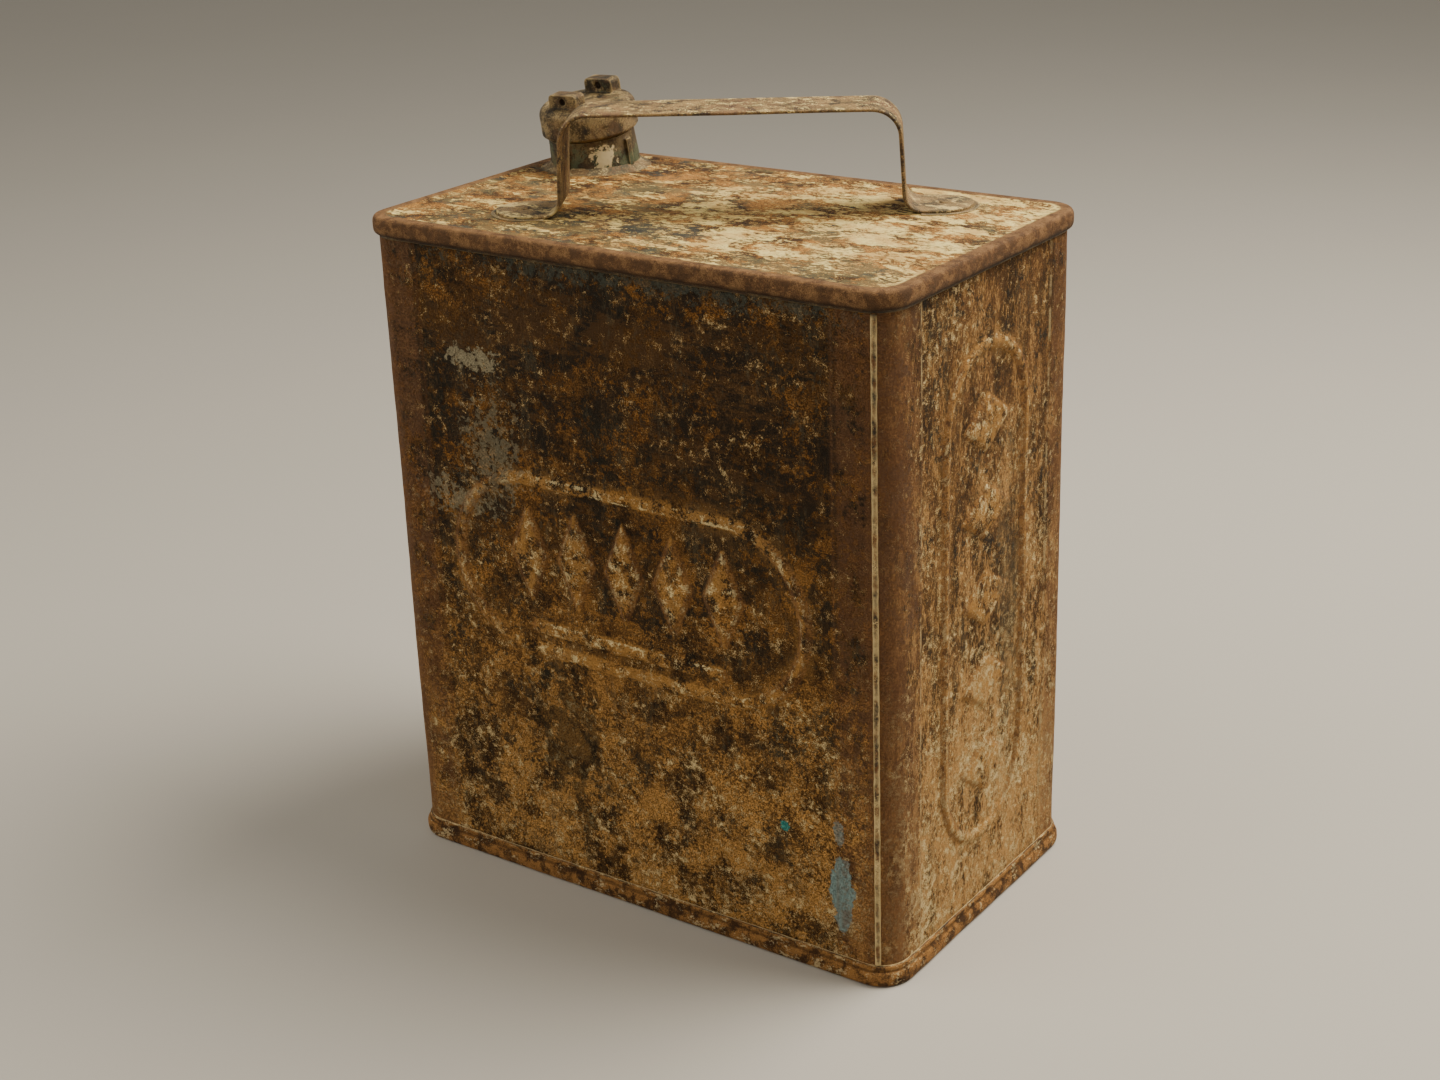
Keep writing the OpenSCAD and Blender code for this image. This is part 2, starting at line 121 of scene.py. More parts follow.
def span(tree, value, low, high, outLow=0.0, outHigh=1.0):
    made = add(tree, "MapRange", {"interpolation_type": "SMOOTHSTEP"}, Value=value)
    for name, end in (("From Min", low), ("From Max", high), ("To Min", outLow), ("To Max", outHigh)):
        feed(tree, made.inputs[name], end)
    return made.outputs[0]


def mix(tree, amount, under, over, mode="MIX"):
    made = add(tree, "Mix", {"data_type": "RGBA", "blend_type": mode})
    feed(tree, made.inputs[0], amount)
    feed(tree, made.inputs[6], under)
    feed(tree, made.inputs[7], over)
    return made.outputs[2]


def noiseAt(tree, vector, scale, detail=4.0, roughness=0.6, distortion=0.0):
    made = add(tree, "TexNoise", Vector=vector, Scale=scale, Detail=detail, Roughness=roughness,
               Distortion=distortion)
    return made.outputs[0]


def newGroup(name, inputs, outputs):
    tree = bpy.data.node_groups.new(name, "ShaderNodeTree")
    for label, kind, value in inputs:
        socket = tree.interface.new_socket(label, in_out="INPUT", socket_type="NodeSocket" + kind)
        if value is not None:
            socket.default_value = value
    for label, kind in outputs:
        tree.interface.new_socket(label, in_out="OUTPUT", socket_type="NodeSocket" + kind)
    return tree, tree.nodes.new("NodeGroupInput").outputs, tree.nodes.new("NodeGroupOutput").inputs


def useGroup(tree, group, **sockets):
    made = tree.nodes.new("ShaderNodeGroup")
    made.node_tree = group
    for key, value in sockets.items():
        feed(tree, made.inputs[key], value)
    return made.outputs


def makePatches():
    # islands with ragged edges: old paint, rust blooms, flecks, and streaks when stretched
    tree, given, out = newGroup("raggedPatches", (
        ("Vector", "Vector", None), ("Stretch", "Vector", (1, 1, 1)), ("Size", "Float", 0.01),
        ("Cover", "Float", 0.5), ("Soft", "Float", 0.04), ("Grain", "Float", 0.5), ("Border", "Float", 0.06),
        ("Seed", "Float", 0.0),
    ), (("Mask", "Float"), ("Halo", "Float"), ("Value", "Float")))
    stretched = vectorMaths(tree, "MULTIPLY", given["Vector"], given["Stretch"])
    sized = vectorMaths(tree, "SCALE", stretched, scale=maths(tree, "DIVIDE", 1.0, given["Size"]))
    shift = add(tree, "CombineXYZ", X=given["Seed"], Y=maths(tree, "MULTIPLY", given["Seed"], 1.7), Z=3.1)
    moved = vectorMaths(tree, "ADD", sized, shift.outputs[0])
    big = noiseAt(tree, moved, 1.0, 3.0, 0.55, 0.35)
    fine = maths(tree, "SUBTRACT", noiseAt(tree, moved, 6.3, 5.0, 0.7), 0.5)
    value = maths(tree, "MULTIPLY_ADD", fine, given["Grain"], big)
    level = maths(tree, "MULTIPLY_ADD", maths(tree, "SUBTRACT", 0.5, given["Cover"]), 0.42, 0.5)
    half = maths(tree, "MULTIPLY", given["Soft"], 0.5)
    mask = span(tree, value, maths(tree, "SUBTRACT", level, half), maths(tree, "ADD", level, half))
    feed(tree, out["Mask"], mask)
    feed(tree, out["Halo"], span(tree, value, maths(tree, "SUBTRACT", level, given["Border"]), level))
    feed(tree, out["Value"], value)
    return tree


def makeRust():
    # mottled rust: three colours at three scales, with a pitted height
    tree, given, out = newGroup("mottledRust", (
        ("Vector", "Vector", None), ("Size", "Float", 0.01), ("Dark", "Color", tint(52, 32, 16)),
        ("Middle", "Color", tint(96, 60, 28)), ("Bright", "Color", tint(150, 98, 48)),
        ("Bloom", "Float", 0.35), ("Seed", "Float", 0.0),
    ), (("Colour", "Color"), ("Height", "Float"), ("Grain", "Float")))
    sized = vectorMaths(tree, "SCALE", given["Vector"], scale=maths(tree, "DIVIDE", 1.0, given["Size"]))
    shift = add(tree, "CombineXYZ", X=given["Seed"], Y=1.9, Z=maths(tree, "MULTIPLY", given["Seed"], 2.3))
    moved = vectorMaths(tree, "ADD", sized, shift.outputs[0])
    wide = noiseAt(tree, moved, 0.55, 6.0, 0.62, 0.4)
    grain = noiseAt(tree, moved, 7.0, 6.0, 0.72)
    pits = noiseAt(tree, moved, 17.0, 4.0, 0.7)
    under = mix(tree, span(tree, wide, 0.36, 0.62), given["Dark"], given["Middle"])
    level = maths(tree, "MULTIPLY_ADD", given["Bloom"], -0.35, 0.72)
    bloom = span(tree, maths(tree, "MULTIPLY_ADD", maths(tree, "SUBTRACT", grain, 0.5), 0.95, wide),
                 maths(tree, "SUBTRACT", level, 0.06), maths(tree, "ADD", level, 0.06))
    bloomed = mix(tree, maths(tree, "MULTIPLY", bloom, 0.85), under, given["Bright"])
    pitted = span(tree, pits, 0.36, 0.52)
    shaded = mix(tree, maths(tree, "MULTIPLY_ADD", pitted, -0.6, 0.6), bloomed, given["Dark"])
    speckle = span(tree, pits, 0.32, 0.68, 0.62, 1.42)
    feed(tree, out["Colour"], mix(tree, 1.0, shaded, speckle, "MULTIPLY"))
    feed(tree, out["Height"], maths(tree, "MULTIPLY_ADD", grain, 0.6, maths(tree, "MULTIPLY", pitted, 0.5)))
    feed(tree, out["Grain"], grain)
    return tree


def makeSpot():
    # one patch at a chosen place, with a broken edge
    tree, given, out = newGroup("singleSpot", (
        ("Vector", "Vector", None), ("Centre", "Vector", (0, 0, 0)), ("Radii", "Vector", (0.01, 0.01, 0.01)),
        ("Ragged", "Float", 0.8), ("Size", "Float", 0.004), ("Soft", "Float", 0.15),
    ), (("Mask", "Float"),))
    away = vectorMaths(tree, "SUBTRACT", given["Vector"], given["Centre"])
    shares = vectorMaths(tree, "DIVIDE", away, given["Radii"])
    scale = maths(tree, "DIVIDE", 1.0, given["Size"])
    torn = maths(tree, "SUBTRACT", noiseAt(tree, given["Vector"], scale, 5.0, 0.7, 0.3), 0.5)
    reach = maths(tree, "MULTIPLY_ADD", torn, maths(tree, "MULTIPLY", given["Ragged"], 3.0),
                  vectorMaths(tree, "LENGTH", shares))
    inner = maths(tree, "SUBTRACT", 1.0, given["Soft"])
    feed(tree, out["Mask"], span(tree, reach, inner, 1.0, 1.0, 0.0))
    return tree


def makeWearAndHollowShade():
    # edges rubbed bright, and hollows darkened with grime and painted shade, from the bend of the surface
    # kept on each mesh
    tree, given, out = newGroup("wornEdgesAndShadedHollows", (
        ("Vector", "Vector", None), ("Bend", "Float", 200.0), ("Size", "Float", 0.004),
        ("Broken", "Float", 0.8),
    ), (("Worn", "Float"), ("Hollow", "Float")))
    kept = add(tree, "Attribute", {"attribute_name": "bend"}).outputs["Fac"]
    bend = maths(tree, "DIVIDE", kept, given["Bend"])
    scale = maths(tree, "DIVIDE", 1.0, given["Size"])
    torn = maths(tree, "SUBTRACT", noiseAt(tree, given["Vector"], scale, 5.0, 0.65), 0.5)
    share = maths(tree, "MULTIPLY", torn, maths(tree, "MULTIPLY", given["Broken"], 4.0))
    feed(tree, out["Worn"], span(tree, maths(tree, "ADD", bend, share), 0.35, 1.0))
    feed(tree, out["Hollow"], span(tree, maths(tree, "SUBTRACT", share, bend), 0.35, 1.1))
    return tree


patches, rust, spot, wear = makePatches(), makeRust(), makeSpot(), makeWearAndHollowShade()


def axes(tree, vector):
    return add(tree, "SeparateXYZ", Vector=vector).outputs


def newMaterial(name):
    material = bpy.data.materials.new(name)
    material.use_nodes = True
    tree = material.node_tree
    shader = tree.nodes["Principled BSDF"]
    where = add(tree, "TexCoord")
    return material, tree, shader, where


def bumped(tree, shader, *layers):
    # each layer is a height and its depth in metres; the first is the deepest down
    normal = None
    for height, depth in layers:
        bump = add(tree, "Bump", Height=height, Distance=depth, Strength=1.0)
        feed(tree, bump.inputs["Normal"], normal)
        normal = bump.outputs[0]
    feed(tree, shader.inputs["Normal"], normal)


def covered(tree, under, mask, colour, strength=1.0):
    return mix(tree, maths(tree, "MULTIPLY", mask, strength), under, colour)


def laid(tree, place, under, colour, strength, **shape):
    # a colour laid over in ragged patches
    return covered(tree, under, useGroup(tree, patches, Vector=place, **shape)["Mask"], colour, strength)


def edged(tree, place, under, worn, hollow, **shape):
    # worn and hollow are each a colour and its strength
    edges = useGroup(tree, wear, Vector=place, **shape)
    return covered(tree, covered(tree, under, edges["Worn"], *worn), edges["Hollow"], *hollow)


def roughly(tree, vector, size, reach):
    # plain noise about zero, for breaking up a line
    away = maths(tree, "SUBTRACT", noiseAt(tree, vector, 1 / size, 5.0, 0.7), 0.5)
    return maths(tree, "MULTIPLY", away, reach)


bodyPaint = {
    "rustDark": tint(44, 28, 9), "rustMiddle": tint(122, 83, 37), "rustBright": tint(194, 144, 78),
    "highRust": tint(130, 84, 32), "sideDark": tint(56, 37, 17), "sideMiddle": tint(122, 84, 46),
    "sideBright": tint(210, 162, 100),
    "oldPaint": tint(15, 12, 2), "oldGreen": tint(12, 20, 10), "film": tint(86, 57, 22),
    "cream": tint(250, 226, 166), "ochre": tint(194, 142, 74), "primer": tint(160, 148, 116),
    "corner": tint(124, 84, 52), "blue": tint(134, 160, 156), "teal": tint(34, 150, 142),
    "bluish": tint(84, 90, 78), "greyed": tint(92, 84, 62),
    "creaseIn": (0.024, 0.022),  # how far the panels' creases lie from a wide and a narrow face's end
    "spots": (
        # single patches that anyone would notice: colour, centre, radii, raggedness, grain, strength
        ("blue", (0.098, -halfD, 0.036), (0.0055, 0.02, 0.017), 0.55, 0.006, 0.95),
        ("blue", (0.0965, -halfD, 0.062), (0.0026, 0.02, 0.005), 0.7, 0.004, 0.6),
        ("teal", (0.072, -halfD, 0.058), (0.0022, 0.02, 0.0022), 0.7, 0.002, 0.85),
        ("primer", (-0.072, -halfD, 0.224), (0.012, 0.02, 0.004), 2.2, 0.003, 0.9),
        ("primer", (-0.064, -halfD, 0.186), (0.01, 0.02, 0.016), 3.4, 0.0035, 0.45),
        ("primer", (-0.084, -halfD, 0.164), (0.012, 0.02, 0.006), 3.2, 0.003, 0.6),
        ("bluish", (0.03, -halfD, rimBottom - 0.002), (0.07, 0.02, 0.0035), 3.4, 0.003, 0.5),
        ("oldGreen", (-0.032, -halfD, 0.067), (0.016, 0.02, 0.028), 2.0, 0.006, 0.6),
        ("greyed", (halfW, 0.02, 0.13), (0.02, 0.01, 0.05), 1.7, 0.008, 0.35),
    ),
}


def makeBodySteel():
    look = bodyPaint
    material, tree, shader, where = newMaterial("rustedBodySteel")
    place = where.outputs["Object"]
    parts = axes(tree, place)
    facing = axes(tree, where.outputs["Normal"])
    narrow = span(tree, maths(tree, "ABSOLUTE", facing["X"]), 0.45, 0.85)
    low = span(tree, parts["Z"], bodyH * 0.75, bodyH * 0.08)
    # rust, redder and darker on the wide faces and paler on the narrow ones
    brightRust = mix(tree, low, look["highRust"], look["rustBright"])
    wideRust = useGroup(tree, rust, Vector=place, Size=0.0085, Dark=look["rustDark"],
                        Middle=look["rustMiddle"], Bright=brightRust,
                        Bloom=span(tree, parts["Z"], bodyH * 0.9, 0.0, 0.3, 0.66))
    sideRust = useGroup(tree, rust, Vector=vectorMaths(tree, "MULTIPLY", place, (1, 1, 0.45)), Size=0.008,
                        Dark=look["sideDark"], Middle=look["sideMiddle"], Bright=look["sideBright"],
                        Bloom=span(tree, parts["Z"], bodyH, 0.0, 0.2, 0.66), Seed=4.0)
    colour = mix(tree, narrow, wideRust["Colour"], sideRust["Colour"])
    # remains of dark paint, most of it high on the wide faces, in two sizes of island
    cover = maths(tree, "MULTIPLY_ADD", low, -0.48, 0.53)
    cover = maths(tree, "MULTIPLY_ADD", narrow, -0.26, cover)
    paint = useGroup(tree, patches, Vector=place, Size=0.019, Cover=cover, Soft=0.03, Grain=1.05,
                     Border=0.08, Seed=2.0)
    small = useGroup(tree, patches, Vector=place, Size=0.007, Cover=maths(tree, "SUBTRACT", cover, 0.14),
                     Soft=0.04, Grain=0.8, Seed=17.0)
    shade = useGroup(tree, patches, Vector=place, Size=0.035, Cover=0.35, Soft=0.2, Grain=0.5, Seed=8.0)
    paintColour = mix(tree, shade["Mask"], look["oldPaint"], look["oldGreen"])
    painted = maths(tree, "MAXIMUM", paint["Mask"], maths(tree, "MULTIPLY", small["Mask"], 0.8))
    colour = covered(tree, colour, paint["Halo"], brightRust, 0.3)
    colour = covered(tree, colour, painted, paintColour, 0.88)
    # a brown film brushed sideways over it, thickest in a band near the top
    band = maths(tree, "MULTIPLY", span(tree, parts["Z"], bodyH * 0.79, bodyH * 0.85),
                 span(tree, parts["Z"], bodyH * 0.95, bodyH * 0.88))
    film = useGroup(tree, patches, Vector=place, Stretch=(0.3, 0.3, 1), Size=0.011, Soft=0.12, Grain=1.0,
                    Cover=maths(tree, "MULTIPLY_ADD", band, 0.42, 0.18), Seed=5.0)
    filmed = maths(tree, "MULTIPLY", film["Mask"], maths(tree, "MULTIPLY_ADD", low, -0.4, 0.75))
    colour = covered(tree, colour, filmed, look["film"], maths(tree, "MULTIPLY_ADD", narrow, -0.7, 1.0))
    # brush marks and upright streaks, strong on the narrow faces and faint on the wide ones
    streak = useGroup(tree, patches, Vector=place, Stretch=(1, 1, 0.34), Size=0.005, Soft=0.05, Grain=1.25,
                      Cover=maths(tree, "MULTIPLY_ADD", low, 0.28, 0.1), Border=0.14, Seed=6.0)
    strong = maths(tree, "MULTIPLY_ADD", narrow, maths(tree, "MULTIPLY_ADD", low, 0.3, 0.4), 0.05)
    colour = covered(tree, colour, streak["Halo"], look["ochre"], maths(tree, "MULTIPLY", strong, 0.7))
    colour = covered(tree, colour, streak["Mask"], look["sideBright"], strong)
    colour = laid(tree, place, colour, look["greyed"], 0.4, Stretch=(1, 1, 0.3), Size=0.008, Cover=0.13,
                  Soft=0.1, Grain=1.1, Seed=15.0)
    # pressed lines rubbed down to primer, with rust haloes
    pressed = add(tree, "Attribute", {"attribute_name": "relief"}).outputs["Fac"]
    colour = laid(tree, place, colour, look["ochre"], span(tree, pressed, 0.02, 0.6, 0.0, 0.8), Size=0.006,
                  Cover=0.52, Soft=0.12, Grain=0.9, Seed=9.0)
    colour = laid(tree, place, colour, look["cream"], 0.85, Size=0.0045, Soft=0.05, Grain=0.9, Seed=11.0,
                  Cover=span(tree, pressed, 0.3, 1.0, -0.4, 0.36))
    # cream flecks in clusters, thicker low down, each with an ochre edge
    cluster = useGroup(tree, patches, Vector=place, Size=0.022, Cover=0.42, Soft=0.25, Grain=0.9, Seed=19.0)
    thick = maths(tree, "MULTIPLY_ADD", low, 0.24, maths(tree, "MULTIPLY_ADD", narrow, 0.14, -0.22))
    thick = maths(tree, "MULTIPLY_ADD", cluster["Mask"], 0.24, thick)
    fleck = useGroup(tree, patches, Vector=place, Size=0.003, Soft=0.05, Grain=1.2, Border=0.16, Seed=13.0,
                     Cover=thick)
    speck = useGroup(tree, patches, Vector=place, Size=0.0016, Soft=0.06, Grain=0.8, Border=0.1, Seed=23.0,
                     Cover=maths(tree, "SUBTRACT", thick, 0.04))
    colour = covered(tree, colour, fleck["Halo"], look["ochre"], 0.6)
    flecked = maths(tree, "MAXIMUM", fleck["Mask"], maths(tree, "MULTIPLY", speck["Mask"], 0.7))
    colour = covered(tree, colour, flecked, look["cream"], 0.8)
    for name, centre, radii, ragged, size, strength in look["spots"]:
        mask = useGroup(tree, spot, Vector=place, Centre=centre, Radii=radii, Ragged=ragged, Size=size)
        colour = covered(tree, colour, mask["Mask"], look[name], strength)
    # creases where the panels are pressed in, and the smoother brown beyond them
    pastWide = maths(tree, "SUBTRACT", maths(tree, "ABSOLUTE", parts["X"]), halfW - look["creaseIn"][0])
    pastNarrow = maths(tree, "SUBTRACT", maths(tree, "ABSOLUTE", parts["Y"]), halfD - look["creaseIn"][1])
    beside = maths(tree, "ADD", maths(tree, "MULTIPLY", maths(tree, "SUBTRACT", 1.0, narrow), pastWide),
                   maths(tree, "MULTIPLY", narrow, pastNarrow))
    smoother = maths(tree, "MULTIPLY", span(tree, beside, 0.0005, 0.003), 0.55)
    colour = laid(tree, place, colour, look["corner"], smoother, Size=0.012, Cover=0.7, Soft=0.2, Grain=1.0,
                  Seed=27.0)
    line = span(tree, maths(tree, "ABSOLUTE", beside), 0.0003, 0.0009, 1.0, 0.0)
    broken = span(tree, maths(tree, "ADD", narrow, roughly(tree, place, 0.009, 4.0)), 0.7, 1.3)
    colour = covered(tree, colour, maths(tree, "MULTIPLY", line, broken), look["cream"], 0.5)
    # the rounded corners: smoother purplish brown
    roundness = span(tree, maths(tree, "MULTIPLY", maths(tree, "ABSOLUTE", facing["X"]),
                                 maths(tree, "ABSOLUTE", facing["Y"])), 0.05, 0.3)
    colour = covered(tree, colour, roundness, look["corner"], 0.5)
    # ochre rubbed edges, and hollows darkened with the dark rust colour: grime and painted shade
    colour = edged(tree, place, colour, (look["ochre"], 0.45), (look["rustDark"], 0.45), Bend=260.0,
                   Size=0.004, Broken=0.7)
    feed(tree, shader.inputs["Base Color"], colour)
    rough = maths(tree, "MULTIPLY_ADD", painted, -0.24, 0.78)
    feed(tree, shader.inputs["Roughness"], maths(tree, "MULTIPLY_ADD", wideRust["Grain"], 0.16, rough))
    shader.inputs["Specular IOR Level"].default_value = 0.2
    bumped(tree, shader, (wideRust["Height"], 0.0009), (painted, 0.00014), (flecked, 0.00018))
    return material


topPaint = {
    "rustDark": tint(60, 37, 13), "rustMiddle": tint(124, 82, 36), "rustBright": tint(182, 128, 60),
    "cream": tint(255, 232, 148), "pale": tint(228, 190, 114), "grey": tint(108, 99, 66),
    "slate": tint(60, 70, 64), "rimRed": tint(110, 74, 42), "rimUnderShade": tint(36, 23, 10),
    "rimLow": tint(92, 64, 38), "rimPale": tint(150, 112, 70),
}


def makeTopSteel():
    look = topPaint
    material, tree, shader, where = newMaterial("flakedTopSteel")
    place = where.outputs["Object"]
    parts = axes(tree, place)
    facing = axes(tree, where.outputs["Normal"])
    ground = useGroup(tree, rust, Vector=place, Size=0.008, Dark=look["rustDark"], Middle=look["rustMiddle"],
                      Bright=look["rustBright"], Bloom=0.55, Seed=3.0)
    colour = ground["Colour"]
    edgeward = span(tree, parts["Y"], -halfD + 0.034, -halfD + 0.004)
    colour = laid(tree, place, colour, look["grey"], 0.7, Stretch=(0.6, 1, 1), Size=0.022, Soft=0.12,
                  Grain=0.8, Cover=maths(tree, "MULTIPLY_ADD", edgeward, 0.3, 0.3), Seed=1.0)
    colour = laid(tree, place, colour, look["slate"], 0.65, Stretch=(0.6, 1, 1), Size=0.011, Soft=0.08,
                  Grain=0.9, Cover=maths(tree, "MULTIPLY_ADD", edgeward, 0.18, 0.12), Seed=14.0)
    fromNeck = vectorMaths(tree, "LENGTH", vectorMaths(tree, "SUBTRACT", place, tuple(neckFoot)))
    flakeCover = span(tree, fromNeck, 0.03, 0.14, 0.12, 0.46)
    flake = useGroup(tree, patches, Vector=place, Stretch=(0.5, 1, 1), Size=0.009, Soft=0.03, Grain=1.1,
                     Border=0.1, Seed=7.0, Cover=maths(tree, "MULTIPLY_ADD", edgeward, -0.24, flakeCover))
    fine = useGroup(tree, patches, Vector=place, Stretch=(0.45, 1, 1), Size=0.0026, Cover=0.16, Soft=0.06,
                    Grain=0.9, Seed=12.0)
    tone = useGroup(tree, patches, Vector=place, Size=0.012, Cover=0.5, Soft=0.3, Grain=0.8, Seed=16.0)
    flakeColour = mix(tree, tone["Mask"], look["cream"], look["pale"])
    pool = useGroup(tree, spot, Vector=place, Centre=(-0.01, -0.034, bodyH), Radii=(0.035, 0.013, 0.02),
                    Ragged=1.4, Size=0.01)["Mask"]
    colour = covered(tree, colour, pool, look["slate"], 0.6)
    flaked = maths(tree, "MAXIMUM", flake["Mask"], maths(tree, "MULTIPLY", fine["Mask"], 0.65))
    colour = covered(tree, colour, flake["Halo"], look["rustBright"], 0.5)
    colour = covered(tree, colour, flaked, flakeColour, 0.85)
    # the rolled rim: bare brown rust, paler on its upper faces where worn and as a painted highlight, and
    # darkened with painted shade where it turns under
    rim = add(tree, "Attribute", {"attribute_name": "rim"}).outputs["Fac"]
    rimRust = useGroup(tree, rust, Vector=place, Size=0.003, Dark=look["rimLow"], Middle=look["rimRed"],
                       Bright=look["rimPale"], Bloom=0.5, Seed=6.0)
    # the upward faces of the rim paler in patches: wear and painted highlight
    crestWearAndHighlight = useGroup(tree, patches, Vector=place, Size=0.006, Cover=0.5, Soft=0.14, Grain=0.9, Seed=18.0)
    rimColour = covered(tree, rimRust["Colour"], crestWearAndHighlight["Mask"], look["rimPale"],
                        span(tree, facing["Z"], 0.35, 0.95, 0.0, 0.5))
    colour = mix(tree, span(tree, rim, 0.3, 0.7), colour, rimColour)
    # painted shade: every face of the top that turns downward, mostly the underside of the rim, darkened
    colour = covered(tree, colour, span(tree, facing["Z"], 0.1, -0.7), look["rimUnderShade"], 0.8)
    feed(tree, shader.inputs["Base Color"], colour)
    feed(tree, shader.inputs["Roughness"], maths(tree, "MULTIPLY_ADD", ground["Grain"], 0.2, 0.6))
    shader.inputs["Specular IOR Level"].default_value = 0.25
    bumped(tree, shader, (ground["Height"], 0.00035), (flake["Mask"], 0.00016))
    return material


basePaint = {
    "rustDark": tint(68, 43, 18), "rustMiddle": tint(118, 80, 38), "rustBright": tint(180, 128, 68),
    "cream": tint(224, 200, 148), "ochre": tint(200, 150, 84),
}


def makeBaseSteel():
    look = basePaint
    material, tree, shader, where = newMaterial("rustedBaseSteel")
    place = where.outputs["Object"]
    ground = useGroup(tree, rust, Vector=place, Size=0.003, Dark=look["rustDark"], Middle=look["rustMiddle"],
                      Bright=look["rustBright"], Bloom=0.6, Seed=5.0)
    flake = useGroup(tree, patches, Vector=place, Stretch=(0.7, 0.7, 1), Size=0.005, Cover=0.16, Soft=0.06,
                     Grain=0.95, Seed=3.0)
    colour = covered(tree, ground["Colour"], flake["Mask"], look["cream"], 0.8)
    # ochre rubbed edges, and hollows darkened with the dark rust colour: grime and painted shade
    colour = edged(tree, place, colour, (look["ochre"], 0.4), (look["rustDark"], 0.5), Bend=450.0,
                   Size=0.003, Broken=0.8)
    feed(tree, shader.inputs["Base Color"], colour)
    feed(tree, shader.inputs["Roughness"], maths(tree, "MULTIPLY_ADD", ground["Grain"], 0.2, 0.66))
    shader.inputs["Specular IOR Level"].default_value = 0.25
    bumped(tree, shader, (ground["Height"], 0.0004), (flake["Mask"], 0.00012))
    return material


solderPaint = {
    "dark": tint(34, 23, 9), "middle": tint(104, 76, 38), "bright": tint(226, 198, 138),
    "rusty": tint(136, 84, 30), "grey": tint(104, 98, 70),
}


def makeSolder():
    look = solderPaint
    material, tree, shader, where = newMaterial("dullSolder")
    place = where.outputs["Object"]
    parts = axes(tree, place)
    ground = useGroup(tree, rust, Vector=place, Size=0.005, Dark=look["dark"], Middle=look["middle"],
                      Bright=look["bright"], Bloom=0.4, Seed=2.0)
    colour = laid(tree, place, ground["Colour"], look["rusty"], 0.6, Size=0.006, Cover=0.45, Soft=0.14,
                  Grain=0.8, Seed=4.0)
    onTopSide = span(tree, parts["Z"], bodyH - 0.002, bodyH - 0.0005)
    colour = covered(tree, colour, onTopSide, look["grey"], 0.4)
    rubbed = maths(tree, "MULTIPLY_ADD", onTopSide, -0.6, 0.8)
    # rubbed bright edges, and hollows darkened: grime and painted shade
    colour = edged(tree, place, colour, (look["bright"], rubbed), (look["dark"], 0.6), Bend=380.0, Size=0.005,
                   Broken=0.5)
    # painted shade: the solder just under the top rim darkened
    underRimShade = maths(tree, "MULTIPLY", span(tree, parts["Z"], rimBottom - 0.003, rimBottom - 0.0012),
                     maths(tree, "SUBTRACT", 1.0, onTopSide))
    colour = covered(tree, colour, underRimShade, look["dark"], 0.75)
    feed(tree, shader.inputs["Base Color"], colour)
    feed(tree, shader.inputs["Roughness"], maths(tree, "MULTIPLY_ADD", ground["Grain"], 0.3, 0.5))
    shader.inputs["Metallic"].default_value = 0.1
    bumped(tree, shader, (ground["Height"], 0.00025))
    return material


strapPaint = {
    "rustDark": tint(44, 30, 15), "rustMiddle": tint(114, 88, 52), "rustBright": tint(170, 136, 82),
    "cream": tint(250, 222, 146), "olive": tint(106, 88, 48), "edge": tint(78, 48, 28),
    "grey": tint(124, 116, 90), "red": tint(118, 78, 48),
}


def makeStrapSteel():
    look = strapPaint
    material, tree, shader, where = newMaterial("wornStrapSteel")
    place = where.outputs["Object"]
    parts = axes(tree, place)
    facing = axes(tree, where.outputs["Normal"])
    ground = useGroup(tree, rust, Vector=place, Size=0.004, Dark=look["rustDark"], Middle=look["rustMiddle"],
                      Bright=look["rustBright"], Bloom=0.7, Seed=9.0)
    colour = laid(tree, place, ground["Colour"], look["olive"], 0.6, Size=0.014, Cover=0.4, Soft=0.2,
                  Grain=0.8, Seed=5.0)
    colour = laid(tree, place, colour, look["red"], 0.55, Size=0.02, Cover=0.28, Soft=0.16, Grain=0.9,
                  Seed=3.0)
    upper = span(tree, facing["Z"], 0.2, 0.8)
    flake = useGroup(tree, patches, Vector=place, Stretch=(0.6, 0.8, 1), Size=0.003, Soft=0.05, Grain=1.2,
                     Cover=maths(tree, "MULTIPLY_ADD", upper, 0.15, 0.04), Seed=8.0)
    colour = covered(tree, colour, flake["Mask"], look["cream"], 0.8)
    # the flat feet wear the same grey and cream as the top they lie on
    footing = span(tree, parts["Z"], bodyH + 0.006, bodyH + 0.002)
    footColour = laid(tree, place, mix(tree, 0.2, ground["Colour"], look["grey"]), look["cream"], 0.8,
                      Stretch=(0.45, 1, 1), Size=0.0085, Soft=0.05, Grain=0.9, Cover=0.3, Seed=7.0)
    colour = mix(tree, maths(tree, "MULTIPLY", footing, 0.85), colour, footColour)
    edges = useGroup(tree, wear, Vector=place, Bend=900.0, Size=0.005, Broken=0.6)
    rubbed = maths(tree, "MULTIPLY_ADD", footing, -0.5, 0.7)
    colour = covered(tree, colour, edges["Worn"], look["edge"], rubbed)
    # painted shade: the strap's downward faces darkened with the dark rust colour
    colour = covered(tree, colour, span(tree, facing["Z"], -0.3, -0.9), look["rustDark"], 0.7)
    feed(tree, shader.inputs["Base Color"], colour)
    feed(tree, shader.inputs["Roughness"], maths(tree, "MULTIPLY_ADD", ground["Grain"], 0.25, 0.5))
    shader.inputs["Metallic"].default_value = 0.1
    bumped(tree, shader, (ground["Height"], 0.00025), (flake["Mask"], 0.0001))
    return material


bronzePaint = {
    "dark": tint(36, 28, 11), "middle": tint(98, 80, 46), "bright": tint(170, 146, 98),
    "red": tint(120, 88, 56), "green": tint(92, 106, 72), "cream": tint(240, 218, 166),
    "hollowGrimeAndShade": tint(22, 15, 5),
}


